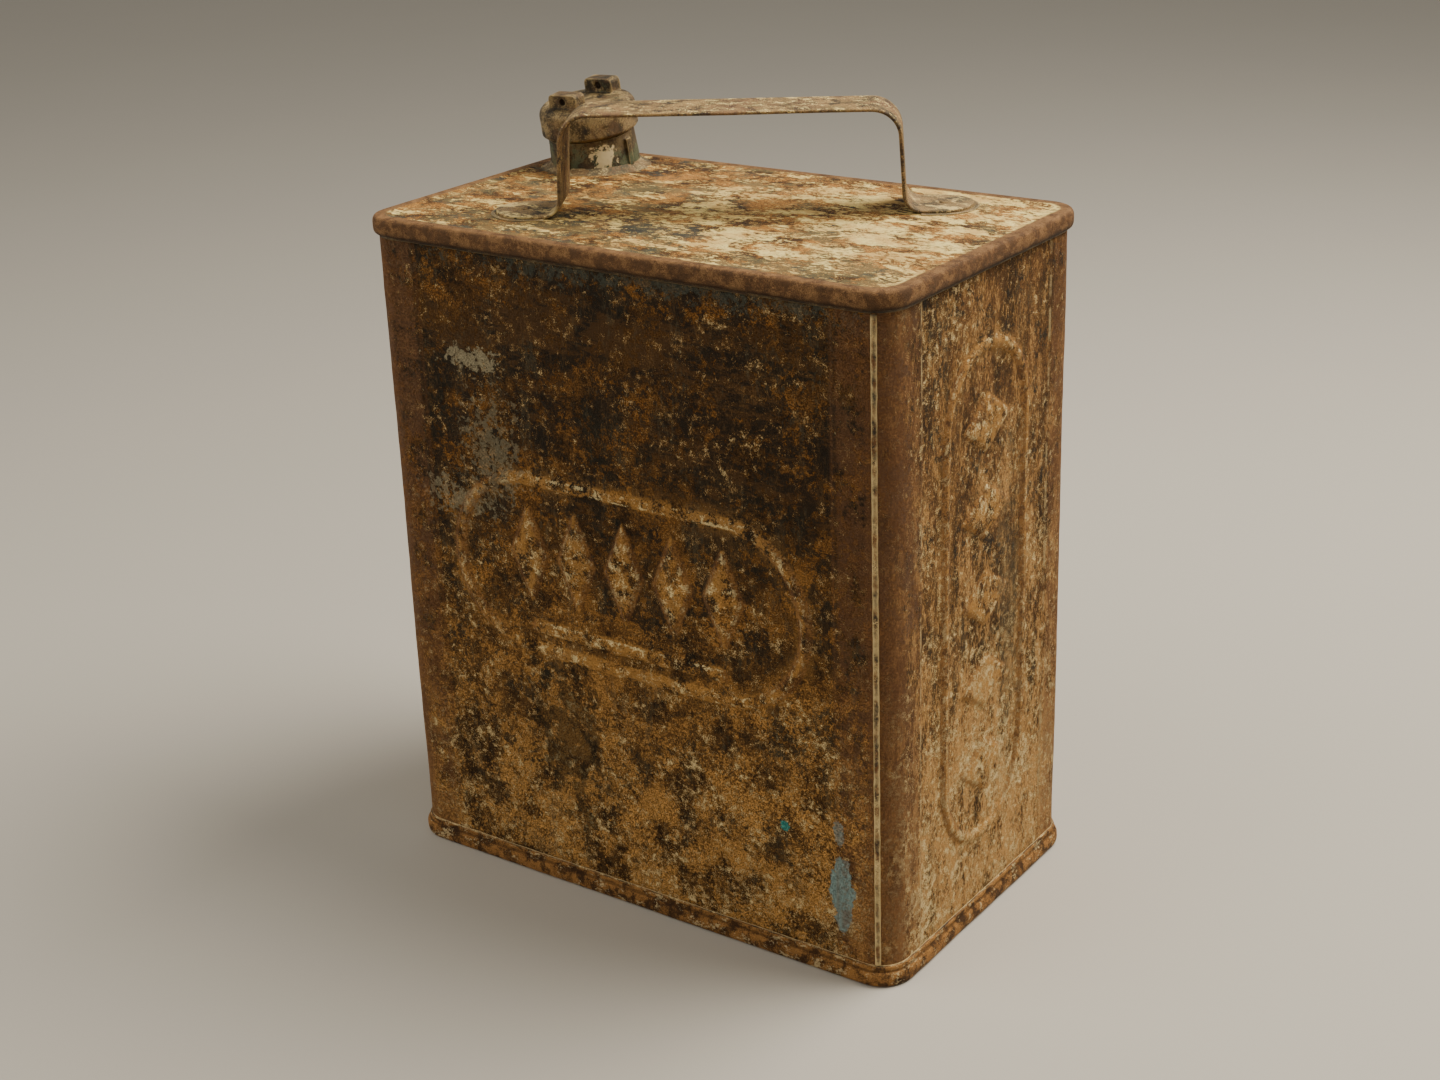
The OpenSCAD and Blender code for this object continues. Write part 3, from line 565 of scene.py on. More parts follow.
def makeBronze():
    look = bronzePaint
    material, tree, shader, where = newMaterial("oxidisedBronze")
    place = where.outputs["Object"]
    parts = axes(tree, place)
    ground = useGroup(tree, rust, Vector=place, Size=0.0045, Dark=look["dark"], Middle=look["middle"],
                      Bright=look["bright"], Bloom=0.5, Seed=1.0)
    colour = laid(tree, place, ground["Colour"], look["red"], 0.5, Size=0.014, Cover=0.4, Soft=0.25,
                  Grain=0.6, Seed=6.0)
    # painted shade: the neck darkened up to 12 to 18 mm above the top
    below = span(tree, parts["Z"], bodyH + 0.018, bodyH + 0.012)
    colour = covered(tree, colour, below, look["dark"], 0.5)
    green = useGroup(tree, patches, Vector=place, Size=0.008, Soft=0.14, Grain=0.9, Seed=2.0,
                     Cover=span(tree, parts["Z"], bodyH + 0.02, bodyH, 0.0, 0.6))
    colour = covered(tree, colour, green["Mask"], look["green"], 0.55)
    ringLow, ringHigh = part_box("neck_solder_ring")
    middle = (ringLow + ringHigh) / 2
    # a scrap of old paint left on the side of the neck
    scrap = (middle.x + 0.0145, middle.y - 0.0135, bodyH + 0.0065)
    leftover = useGroup(tree, spot, Vector=place, Centre=scrap, Radii=(0.0045, 0.006, 0.0048), Ragged=1.3,
                        Size=0.003)
    colour = covered(tree, colour, leftover["Mask"], look["cream"], 0.8)
    # edges rubbed bright, and hollows darkened almost black: grime and painted shade
    colour = edged(tree, place, colour, (look["bright"], 0.6), (look["hollowGrimeAndShade"], 0.85), Bend=450.0, Size=0.004,
                   Broken=0.6)
    feed(tree, shader.inputs["Base Color"], colour)
    feed(tree, shader.inputs["Roughness"], maths(tree, "MULTIPLY_ADD", ground["Grain"], 0.3, 0.42))
    feed(tree, shader.inputs["Metallic"], maths(tree, "MULTIPLY_ADD", green["Mask"], -0.2, 0.25))
    bumped(tree, shader, (ground["Height"], 0.00025))
    return material


leatherPaint = {"dark": tint(34, 22, 14), "middle": tint(74, 48, 30), "bright": tint(110, 76, 48)}


def makeLeather():
    look = leatherPaint
    material, tree, shader, where = newMaterial("oiledLeather")
    place = where.outputs["Object"]
    ground = useGroup(tree, rust, Vector=place, Size=0.004, Dark=look["dark"], Middle=look["middle"],
                      Bright=look["bright"], Bloom=0.25, Seed=7.0)
    feed(tree, shader.inputs["Base Color"], ground["Colour"])
    feed(tree, shader.inputs["Roughness"], maths(tree, "MULTIPLY_ADD", ground["Grain"], 0.25, 0.4))
    bumped(tree, shader, (ground["Height"], 0.00015))
    return material


bodySteel, topSteel, baseSteel = makeBodySteel(), makeTopSteel(), makeBaseSteel()
solder, strapSteel, bronze, leather = makeSolder(), makeStrapSteel(), makeBronze(), makeLeather()
print("materials made:", len(bpy.data.materials))


# Mesh helpers

def lumps(points, size, seed):
    # smooth random values, about -1 to 1, in lumps of that size
    shift = Vector((seed * 7.3, seed * 3.1, seed * 5.7))
    return np.array([noise.noise(Vector(p) / size + shift) for p in np.reshape(points, (-1, 3))])


def ease(value):
    held = np.clip(value, 0, 1)
    return held * held * (3 - 2 * held)


def woven(rings, columns, wrapColumns=True, wrapRings=False, start=0):
    # four-sided faces between the points of neighbouring rings
    r = np.arange(rings if wrapRings else rings - 1)[:, None]
    c = np.arange(columns if wrapColumns else columns - 1)[None, :]
    nextR, nextC = (r + 1) % rings, (c + 1) % columns
    corners = [r * columns + c, r * columns + nextC, nextR * columns + nextC, nextR * columns + c]
    faces = np.stack([np.broadcast_to(k, (r.size, c.size)) for k in corners], -1)
    return (faces.reshape(-1, 4) + start).tolist()


def ends(rings, columns):
    # the two many-sided faces that close a run of rings
    last = (rings - 1) * columns
    return [list(range(columns)), [last + k for k in range(columns)]]


def readOff(items, name, width, kind=np.float32):
    values = np.empty(len(items) * width, kind)
    items.foreach_get(name, values)
    return values.reshape(-1, width)


def marked(mesh, name, values):
    layer = mesh.attributes.get(name) or mesh.attributes.new(name, "FLOAT", "POINT")
    layer.data.foreach_set("value", np.asarray(values, np.float32).ravel())


def readBend(mesh, passes=2):
    # how sharply the surface bends out at each point, per metre; hollows come out negative
    at, normals = readOff(mesh.vertices, "co", 3), readOff(mesh.vertex_normals, "vector", 3)
    a, b = readOff(mesh.edges, "vertices", 2, np.int32).T
    along = at[b] - at[a]
    long = np.maximum((along ** 2).sum(1), 1e-10)
    total, shares = np.zeros(len(at)), np.zeros(len(at))
    np.add.at(total, a, -(normals[a] * along).sum(1) / long)
    np.add.at(total, b, (normals[b] * along).sum(1) / long)
    np.add.at(shares, a, 1)
    np.add.at(shares, b, 1)
    bend = total / np.maximum(shares, 1)
    for _ in range(passes):
        total = bend.copy()
        np.add.at(total, a, bend[b])
        np.add.at(total, b, bend[a])
        bend = total / (shares + 1)
    marked(mesh, "bend", bend)


def piece(name, mesh, body, nodes, material):
    for face in mesh.polygons:
        face.use_smooth = True
    obj = bpy.data.objects.new(name, mesh)
    scene.collection.objects.link(obj)
    mesh.materials.clear()
    mesh.materials.append(material)
    readBend(mesh)
    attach(obj, body)
    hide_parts(*nodes)
    print("built", name, len(mesh.vertices), "points")


def meshOf(name, points, faces, weld=0.0, **layers):
    mesh = bpy.data.meshes.new(name)
    mesh.from_pydata(np.reshape(points, (-1, 3)).tolist(), [], faces)
    for layer, values in layers.items():
        marked(mesh, layer, values)
    work = bmesh.new()
    work.from_mesh(mesh)
    if weld:
        bmesh.ops.remove_doubles(work, verts=work.verts, dist=weld)
    bmesh.ops.recalc_face_normals(work, faces=work.faces)
    work.to_mesh(mesh)
    work.free()
    return mesh


def aroundBody(u):
    # point on the walls' outline and its outward direction, at distance u from the right wall's front end
    half = np.mod(u, halfLap)
    turned = np.where(np.mod(u, 2 * halfLap) >= halfLap, -1, 1)
    angle = (np.clip(half - straightD, 0, cornerL) + np.clip(half - halfLap + cornerL, 0, cornerL)) / cornerR
    x = halfW - cornerR - np.clip(half - straightD - cornerL, 0, straightW) + cornerR * np.cos(angle)
    y = cornerR - halfD + np.clip(half, 0, straightD) + cornerR * np.sin(angle)
    return turned * x, turned * y, turned * np.cos(angle), turned * np.sin(angle)


# The two bent sheets

sheetLook = {
    "pitch": 0.0011,  # spacing of the mesh
    "reliefH": 0.001125,
    "line": 0.005,  # width of a pressed line
    "soft": 0.0012,  # rounding of the pressed edges
    "wideBorder": (0.172, 0.078),
    "wideMiddle": 0.142,  # height of the wide border's middle
    "narrowBorder": (0.208, 0.066),
    "lozenge": (0.022, 0.04),
    "recess": 0.0005,  # how far the panels are pressed in between the corners
    "recessSoft": 0.0018,
    "flangeL": 0.007,  # the lap behind the next sheet
    "flangeIn": 0.0009,
    "sag": 0.0005,  # slow waves in the sheet, and their size
    "sagSize": 0.075,
    "free": 0.03,  # how far from its top and bottom edges a sheet starts to wave
    "ripple": 0.00012,
    "rippleSize": 0.009,
    "dents": (
        # face, along, height, radius, depth
        ("wide", -0.05, 0.205, 0.012, 0.0009), ("wide", 0.062, 0.19, 0.009, 0.0006),
        ("wide", -0.082, 0.07, 0.011, 0.0008), ("wide", 0.02, 0.05, 0.014, 0.0006),
        ("narrow", 0.03, 0.06, 0.01, 0.0008), ("narrow", -0.025, 0.235, 0.008, 0.0005),
    ),
}


def toStadium(along, across, length, width):
    # distance outside a round-ended bar
    return np.hypot(np.maximum(np.abs(along) - (length - width) / 2, 0), across) - width / 2


def toLozenge(along, across, length, width):
    a, b = length / 2, width / 2
    return (np.abs(along) / a + np.abs(across) / b - 1) * a * b / math.hypot(a, b)


def pressedLine(distance, line, soft):
    # a round-backed ridge on the inside of an outline
    return ease((line / 2 + soft / 2 - np.abs(distance + line / 2)) / (line / 2 + soft / 2) * 1.35)


def wideRelief(along, height):
    look = sheetLook
    length, width = look["wideBorder"]
    line, soft = look["line"], look["soft"]
    row = length - width
    raised = pressedLine(toStadium(along, height, length, width), line, soft)
    for i in range(-2, 3):
        away = toLozenge(along - i * row / 4, height - line, look["lozenge"][0] * 0.8, look["lozenge"][1])
        raised = np.maximum(raised, ease(0.5 - away / (2 * soft)))
    bar = toStadium(along, height - line * 2.5 + width / 2, row, line)
    return np.maximum(raised, ease(0.5 - bar / (2 * soft)))


def narrowRelief(along, height):
    look = sheetLook
    length, width = look["narrowBorder"]
    raised = pressedLine(toStadium(height, along, length, width), look["line"], look["soft"])
    for i in range(-2, 3):
        up = height - i * (length - width) / 4
        away = toLozenge(up, along, look["lozenge"][0], look["lozenge"][1] * 0.85)
        raised = np.maximum(raised, ease(0.5 - away / (2 * look["soft"])))
    return raised


def stitched(rows, columns, innerRows, innerColumns):
    # faces round a sheet's rim, from four fine edges outside to one coarse edge inside
    start = rows * columns
    index = np.arange(start).reshape(rows, columns)
    innerIndex = start + np.arange(innerRows * innerColumns).reshape(innerRows, innerColumns)
    faces = []
    for edge, innerEdge in (
        (index[0], innerIndex[0]), (index[-1], innerIndex[-1]),
        (index[:, 0], innerIndex[:, 0]), (index[:, -1], innerIndex[:, -1]),
    ):
        for k in range(len(innerEdge) - 1):
            near, far = int(innerEdge[k]), int(innerEdge[k + 1])
            run = [int(i) for i in edge[4 * k:4 * k + 5]]
            faces += [(run[0], run[1], near), (run[1], run[2], near), (run[2], far, near),
                      (run[2], run[3], far), (run[3], run[4], far)]
    return faces


def bodySheet(name, node, turn, seed):
    look = sheetLook
    seamPart = can["seamAngle"] / (math.pi / 2)
    first = -cornerL * (1 - seamPart) - can["solderH"]
    seam = straightD + cornerL + straightW + cornerL * seamPart
    last = seam + look["flangeL"]
    columns = 4 * round((last - first) / look["pitch"] / 4) + 1
    low, high = sheetLow.z, sheetHigh.z
    rows = 4 * round((high - low) / look["pitch"] / 4) + 1
    u, z = np.meshgrid(np.linspace(first, last, columns), np.linspace(low, high, rows))
    narrowAlong, wideAlong = u - straightD / 2, u - straightD - cornerL - straightW / 2
    wide = np.abs(wideAlong) < straightW / 2
    relief = np.where(wide, wideRelief(wideAlong, z - look["wideMiddle"]),
                      narrowRelief(narrowAlong, z - bodyH / 2))
    x, y, outX, outY = aroundBody(u + turn * halfLap)
    flat = np.stack([x, y, z], -1)
    wideIn, narrowIn = (
        ease((half - crease - np.abs(along)) / look["recessSoft"] + 0.5)
        for half, crease, along in zip((halfW, halfD), bodyPaint["creaseIn"], (wideAlong, narrowAlong))
    )
    out = relief * look["reliefH"] - look["recess"] * np.where(wide, wideIn, narrowIn)
    free = ease((z - low) / look["free"]) * ease((high - z) / look["free"])
    out += free * look["sag"] * lumps(flat, look["sagSize"], seed).reshape(u.shape)
    out += look["ripple"] * lumps(flat, look["rippleSize"], seed + 5).reshape(u.shape)
    for face, along, height, radius, depth in look["dents"]:
        away = np.hypot((wideAlong if face == "wide" else narrowAlong) - along, z - height) / radius
        out -= depth * np.exp(-away * away)
    out = np.where(u > seam, -look["flangeIn"], out * ease((seam - u) / 0.004 + 0.2))
    outer = np.stack([x + outX * out, y + outY * out, z], -1)
    back = out - can["sheet"]
    inner = np.stack([x + outX * back, y + outY * back, z], -1)[::4, ::4]
    innerRows, innerColumns = inner.shape[:2]
    faces = woven(rows, columns, wrapColumns=False)
    faces += woven(innerRows, innerColumns, wrapColumns=False, start=rows * columns)
    faces += stitched(rows, columns, innerRows, innerColumns)
    points = np.concatenate([outer.reshape(-1, 3), inner.reshape(-1, 3)])
    # where the ridges wear through: most on their shoulders, and a little beside the border
    marks = relief * (1.35 - relief) * 2.2
    border = np.where(wide, toStadium(wideAlong, z - look["wideMiddle"], *look["wideBorder"]),
                      toStadium(z - bodyH / 2, narrowAlong, *look["narrowBorder"]))
    marks = np.maximum(marks, 0.3 * ease(1 - np.abs(border + look["line"] / 2) / 0.012))
    pressed = np.concatenate([np.clip(marks, 0, 1).ravel(), np.zeros(inner.size // 3)])
    mesh = meshOf(name, points, faces, relief=pressed)
    piece(name, mesh, "can", [node], bodySteel)


bodySheet("front_sheet", "body_sheet_front", 1, 1)
bodySheet("back_sheet", "body_sheet_back", 0, 2)


# The top and base, each a panel with a rolled rim

def wallRing(outs, heights, columns):
    x, y, outX, outY = aroundBody(np.linspace(0, 2 * halfLap, columns, endpoint=False))
    o, z = np.array(outs)[:, None], np.array(heights)[:, None]
    return np.stack([x + outX * o, y + outY * o, np.broadcast_to(z, (len(outs), columns))], -1)


def panelRings(count, inset, height, columns, outward):
    # rings that shrink from a little inside the walls to the panel's middle line
    edge = wallRing([-inset], [height], columns)[0]
    middle = edge * 0
    middle[:, 0] = np.clip(edge[:, 0], halfD - halfW, halfW - halfD)
    middle[:, 2] = height
    shares = np.linspace(0, 1, count)[:, None, None]
    rings = edge[None] + (middle - edge)[None] * shares
    return rings[::-1] if outward else rings


topLook = {
    "columns": 400,
    "rings": 46,
    "inset": 0.009,
    "shoulder": (0.0075, 0.006, 0.0045, 0.003, 0.0015),  # rings between the inset and the rim
    "valley": 0.0005,  # depth of the shallow trough inside the rim
    "valleyIn": 0.007,
    "wave": 0.0004,
    "rimWobble": 0.0003,
    "neckHole": 0.0193,
}
rollSteps = 15


def rolledRim(centreZ, halfH, out, steps, squareness=0.72):
    # outline of a rolled edge from its top inner point, round the outside, to its foot at the wall
    a = np.linspace(math.pi / 2, -math.pi / 2, steps)
    outs = out * np.cos(a) ** squareness
    return outs, centreZ + halfH * np.sign(np.sin(a)) * np.abs(np.sin(a)) ** squareness


def knocked(roll, outs, depth, big, small):
    # a rolled edge pushed inward here and there; big and small are each a size of lump and a seed
    wobble = lumps(roll, *big) - 0.6 + 0.4 * lumps(roll, *small)
    push = np.minimum(wobble, 0).reshape(roll.shape[:2]) * np.clip(outs / can["rimOut"], 0, 1)[:, None]
    _, _, outX, outY = aroundBody(np.linspace(0, 2 * halfLap, roll.shape[1], endpoint=False))
    roll[..., 0] += outX * push * depth
    roll[..., 1] += outY * push * depth


def cutHoles(mesh, holes):
    # holes is a list of centre, direction and radius
    around, reach = 64, 0.006
    points, faces = [], []
    for centre, direction, radius in holes:
        turn = Vector((0, 0, 1)).rotation_difference(Vector(direction)).to_matrix()
        start = len(points)
        for end in (-reach, reach):
            for k in range(around):
                angle = 2 * math.pi * k / around
                spoke = Vector((radius * math.cos(angle), radius * math.sin(angle), end))
                points.append(Vector(centre) + turn @ spoke)
        faces += woven(2, around, start=start)
        faces += [[start + k for k in face] for face in ends(2, around)]
    cutter = bpy.data.objects.new("cutter", meshOf("cutter", [tuple(p) for p in points], faces))
    whole = bpy.data.objects.new("whole", mesh)
    scene.collection.objects.link(cutter)
    scene.collection.objects.link(whole)
    cut = whole.modifiers.new("holes", "BOOLEAN")
    cut.operation = "DIFFERENCE"
    cut.solver = "EXACT"
    cut.object = cutter
    bpy.context.view_layer.update()
    drilled = bpy.data.meshes.new_from_object(whole.evaluated_get(bpy.context.evaluated_depsgraph_get()))
    bpy.data.objects.remove(whole)
    bpy.data.objects.remove(cutter)
    return drilled


handle = {
    "middle": (0.005, 0.004),
    "angle": math.atan2(halfD, halfW),
    "width": 0.027,
    "thick": 0.0017,
    "reach": 0.0651,
    "rise": 0.04,
    "lean": math.radians(3),
    "topBend": 0.011,
    "footBend": 0.007,
    "pad": 0.02,
    "holeR": 0.00205,  # the rivets' holes
    "nick": 0.000144,
    "bow": 0.0007,
    "bowUp": 0.0002,  # the most that it bows upward
    "ripple": 0.00005,
}


def handlePlaces():
    # along the strap's own line: bend centres, pad ends and rivets
    h = handle
    topS = h["reach"] - h["topBend"] * math.cos(h["lean"])
    topZ = h["rise"] - h["topBend"]
    legTop = topZ + h["topBend"] * math.sin(h["lean"])
    legL = (legTop + h["footBend"] * (math.sin(h["lean"]) - 1) - h["thick"] / 2) / math.cos(h["lean"])
    footS = h["reach"] + legL * math.sin(h["lean"]) + h["footBend"] * math.cos(h["lean"])
    return {"topS": topS, "topZ": topZ, "legL": legL, "footS": footS, "padEnd": footS + h["pad"],
            "rivetS": footS + h["pad"] / 2}


places = handlePlaces()
strapSide = Vector((math.cos(handle["angle"]), math.sin(handle["angle"]), 0))
strapAcross = Vector((-strapSide.y, strapSide.x, 0))


def onTop(s, across=0.0, up=0.0):
    return Vector((*handle["middle"], bodyH + up)) + strapSide * s + strapAcross * across


def rivetHoles():
    return [(onTop(end * places["rivetS"]), (0, 0, 1), handle["holeR"]) for end in (-1, 1)]


def topPanel():
    look = topLook
    columns = look["columns"]
    inside = panelRings(look["rings"], look["inset"], bodyH, columns, outward=True)
    insets = look["inset"] + (halfD - look["inset"]) * np.linspace(1, 0, look["rings"])
    shoulder = wallRing([-inset for inset in look["shoulder"]], [bodyH] * len(look["shoulder"]), columns)
    insets = np.concatenate([insets, look["shoulder"]])
    outs, heights = rolledRim((bodyH + rimBottom) / 2, (bodyH - rimBottom) / 2, can["rimOut"], rollSteps)
    roll = wallRing(outs, heights, columns)
    sheetTop = bodyH - can["sheet"]
    under = wallRing([-0.0001, -0.0001], [rimBottom + 0.0006, sheetTop], columns)
    ceiling = panelRings(9, look["inset"], sheetTop, columns, outward=False)
    flat = np.concatenate([inside, shoulder])
    trough = np.exp(-((insets - look["valleyIn"]) / (look["valleyIn"] / 2)) ** 2)[:, None]
    # waves keep clear of the neck, the rivets and the rim
    away = np.hypot(flat[..., 0] - neckFoot.x, flat[..., 1] - neckFoot.y) - 0.022
    for end in (-1, 1):
        spotAt = onTop(end * places["rivetS"])
        away = np.minimum(away, np.hypot(flat[..., 0] - spotAt.x, flat[..., 1] - spotAt.y) - 0.016)
    free = ease(away / 0.02) * ease((insets[:, None] - 0.002) / 0.02)
    waves = lumps(flat, 0.05, 3).reshape(flat.shape[:2])
    flat[..., 2] -= look["valley"] * trough + look["wave"] * free * (0.6 + 0.6 * waves)
    knocked(roll, outs, look["rimWobble"], (0.02, 4), (0.006, 9))
    rings = np.concatenate([flat, roll, under, ceiling])
    rimMark = np.concatenate([
        np.clip(1 - (insets - 0.001) / 0.004, 0, 1), np.ones(len(roll)), np.zeros(len(under) + len(ceiling)),
    ])
    mesh = meshOf("top", rings, woven(len(rings), columns), weld=0.00002, rim=np.repeat(rimMark, columns))
    holes = [(neckFoot, neckAxis, look["neckHole"])] + rivetHoles()
    piece("top_panel_rolled", cutHoles(mesh, holes), "can", ["top_panel"], topSteel)


baseLook = {
    "columns": 400,
    "rings": 16,
    "inset": 0.008,
    "rimH": 0.0065,
    "lipOut": 0.001,  # how far the lip above the roll stands out
    "recess": 0.003,  # how far the panel stands above the ground
    "foot": 0.0018,
    "wobble": 0.0003,
}


def basePanel():
    look = baseLook
    columns = look["columns"]
    outs, heights = rolledRim(look["rimH"] / 2, look["rimH"] / 2, can["rimOut"], rollSteps)
    outs = np.maximum(outs, np.where(heights > look["rimH"] / 2, look["lipOut"], 0))
    roll = wallRing(outs[::-1], heights[::-1], columns)
    knocked(roll, outs[::-1], look["wobble"], (0.018, 6), (0.005, 7))
    under = panelRings(look["rings"], look["inset"], look["recess"], columns, outward=True)
    foot = wallRing([-0.004, -look["foot"] - 0.0003, -look["foot"], -look["foot"] + 0.0004],
                    [look["recess"], look["recess"], look["recess"] - 0.0004, 0.0], columns)
    lip = wallRing([look["lipOut"], look["lipOut"] * 0.75, 0.0002, 0.0002],
                   [baseTop - 0.0005, baseTop, baseTop, look["recess"] + can["sheet"] + 0.0004], columns)
    floor = panelRings(9, look["inset"], look["recess"] + can["sheet"], columns, outward=False)
    rings = np.concatenate([under, foot, roll, lip, floor])
    mesh = meshOf("base", rings, woven(len(rings), columns), weld=0.00002)
    piece("base_panel_rolled", mesh, "can", ["base_panel"], baseSteel)


topPanel()
basePanel()


# Solder runs

runLook = {
    "sink": 0.0001,  # how far a run reaches into the sheet it lies on
    "cornerW": 0.0024,
    "neck": {"inner": 0.0188, "outer": 0.0235, "height": 0.0026, "lump": 0.0005},
    "footW": 0.0024,
    "footGap": 0.0008,  # from the edge of the handle's foot to the middle of its bead
}


def roughen(rings, size, depth, seed):
    # pushes each point of a run away from the run's own middle line by a little
    middle = rings.mean(axis=-2, keepdims=True)
    away = rings - middle
    away /= np.maximum(np.linalg.norm(away, axis=-1, keepdims=True), 1e-6)
    swell = (lumps(rings, size, seed) + 0.5 * lumps(rings, size / 2.7, seed + 1)).reshape(rings.shape[:-1])
    return rings + away * (swell * depth)[..., None]


def seamLoop(name, node, outs, heights, seed):
    # a fillet all round the body; its section is a small closed outline
    columns = 560
    rings = np.swapaxes(wallRing(outs, heights, columns), 0, 1)
    rings = roughen(rings, 0.007, can["solderH"] * 0.22, seed)
    mesh = meshOf(name, rings, woven(columns, len(outs), wrapRings=True))
    piece(name, mesh, "can", [node], solder)


def filletSection(width, height, steps=5):
    # hollow-faced corner fillet: out along the ledge and down the wall
    a = np.linspace(0, math.pi / 2, steps)
    return width * (1 - 0.8 * np.sin(a)) * np.cos(a) ** 0.4, height * (1 - 0.8 * np.cos(a)) * np.sin(a) ** 0.4


def bothSeams():
    h, sink = can["solderH"], runLook["sink"]
    outs, ups = filletSection(1.5 * h, 2 * h)
    heights = rimBottom + 2 * sink - np.append(ups, 0)
    seamLoop("top_seam_run", "top_seam_solder", np.append(outs, -sink), heights, 11)
    outs, ups = filletSection(1.2 * h, h)
    heights = baseTop - sink + np.append(ups, 0)
    seamLoop("base_seam_run", "base_seam_solder", np.append(outs, -sink), heights, 12)


def cornerRun(name, node, turn, seed):
    # upright ridge of solder on a corner's seam
    h, sink = can["solderH"], runLook["sink"]
    low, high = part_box(node)
    seam = straightD + cornerL + straightW + cornerL * can["seamAngle"] / (math.pi / 2)
    z = np.linspace(low.z, high.z, 260)
    offsets = np.array([-12, -11, -7, 0, 7, 11, 12]) / 24 * runLook["cornerW"]
    outs = np.array([-sink, 0.25 * h, 0.75 * h, h, 0.75 * h, 0.25 * h, -sink])
    x, y, outX, outY = aroundBody(seam + turn * halfLap + offsets)
    shape = np.stack([x + outX * outs, y + outY * outs], -1)
    rings = np.concatenate([np.broadcast_to(shape, (len(z), *shape.shape)),
                            np.broadcast_to(z[:, None, None], (len(z), len(offsets), 1))], -1)
    rings = roughen(rings.copy(), 0.006, h * 0.2, seed)
    mesh = meshOf(name, rings, woven(len(z), len(offsets)) + ends(len(z), len(offsets)))
    piece(name, mesh, "can", [node], solder)


def neckFillet():
    # lumpy ring of solder round the foot of the neck
    look = runLook["neck"]
    columns = 160
    angle = np.linspace(0, 2 * math.pi, columns, endpoint=False)
    share = np.linspace(0, 1, 12)
    wide = 1 + 0.08 * np.sin(3 * angle + 1) + 0.05 * np.sin(7 * angle)
    radius = look["inner"] + (look["outer"] - look["inner"]) * share[None, :] * wide[:, None]
    radius = np.concatenate([radius, np.full((columns, 1), look["inner"])], 1)
    bottom = bodyH - runLook["sink"]
    z = np.append(bodyH + look["height"] * (1 - share) ** 1.5, bottom)
    x, y = radius * np.cos(angle)[:, None], radius * np.sin(angle)[:, None]
    rings = np.stack([neckFoot.x + x, neckFoot.y + y, np.broadcast_to(z, radius.shape)], -1)
    swell = (lumps(rings, 0.005, 21) + 0.6 * lumps(rings, 0.002, 22)).reshape(radius.shape)[:, :-1]
    rings[:, :-1, 2] += look["lump"] * swell * np.minimum(1, 6 * share * (1.05 - share) + 0.2)
    rings[..., 2] = np.maximum(rings[..., 2], bottom)
    mesh = meshOf("neck_fillet", rings, woven(columns, rings.shape[1], wrapRings=True))
    piece("neck_fillet", mesh, "can", ["neck_solder_ring"], solder)


def footRun(name, node, end, seed):
    # low bead round a foot's pad, open where the leg rises
    half = handle["width"] / 2 + runLook["footGap"]
    centreS = places["padEnd"] - handle["width"] / 2
    straight = centreS - (places["footS"] - handle["footBend"] * 0.1)
    count = 90
    total = 2 * straight + math.pi * half
    d = np.linspace(0, total, count)
    turnedBy = np.clip((d - straight) / half, 0, math.pi)
    s = centreS - np.maximum(straight - d, 0) - np.maximum(d - total + straight, 0)
    a = np.linspace(0, 2 * math.pi, 10, endpoint=False)
    sideways = runLook["footW"] / 2 * np.cos(a) + 0.0002
    up = can["solderH"] * 0.5 * (1 + np.sin(a)) - runLook["sink"]
    rings = np.zeros((count, len(a), 3))
    for k in range(count):
        for m in range(len(a)):
            reach = half + sideways[m]
            spotS = s[k] + reach * math.sin(turnedBy[k])
            rings[k, m] = onTop(end * spotS, -end * reach * math.cos(turnedBy[k]), up[m])
    rings = roughen(rings, 0.004, can["solderH"] * 0.2, seed)
    mesh = meshOf(name, rings, woven(count, len(a)) + ends(count, len(a)))
    piece(name, mesh, "can", [node], solder)


bothSeams()
cornerRun("corner_run_back", "corner_solder_back", 0, 13)
cornerRun("corner_run_front", "corner_solder_front", 1, 14)
neckFillet()
footRun("foot_run_front", "foot_solder_front", -1, 15)
footRun("foot_run_back", "foot_solder_back", 1, 16)


# The handle

def strapPath():
    # half of the strap's middle line, from the middle of its top to the end of a pad: along, up, slope
    h = handle
    half = []
    for s in np.linspace(0, places["topS"], 26)[:-1]:
        half.append((s, h["rise"], 0.0))
    for a in np.linspace(0, math.pi / 2 - h["lean"], 14)[:-1]:
        half.append((places["topS"] + h["topBend"] * math.sin(a),
                     places["topZ"] + h["topBend"] * math.cos(a), -a))
    down = -(math.pi / 2 - h["lean"])
    topX = places["topS"] + h["topBend"] * math.cos(h["lean"])
    topY = places["topZ"] + h["topBend"] * math.sin(h["lean"])
    for share in np.linspace(0, 1, 14)[:-1]:
        d = share * places["legL"]
        half.append((topX + d * math.sin(h["lean"]), topY - d * math.cos(h["lean"]), down))
    for a in np.linspace(math.pi / 2 - h["lean"], 0, 12)[:-1]:
        half.append((places["footS"] - h["footBend"] * math.sin(a),
                     h["thick"] / 2 + h["footBend"] * (1 - math.cos(a)), -a))
    flat = h["pad"] - h["width"] / 2
    for share in np.linspace(0, 1, 6)[:-1]:
        half.append((places["footS"] + flat * share, h["thick"] / 2, 0.0))
    for a in np.linspace(0, math.pi / 2 * 0.97, 14):
        half.append((places["footS"] + flat + h["width"] / 2 * math.sin(a), h["thick"] / 2, 0.0))
    return half


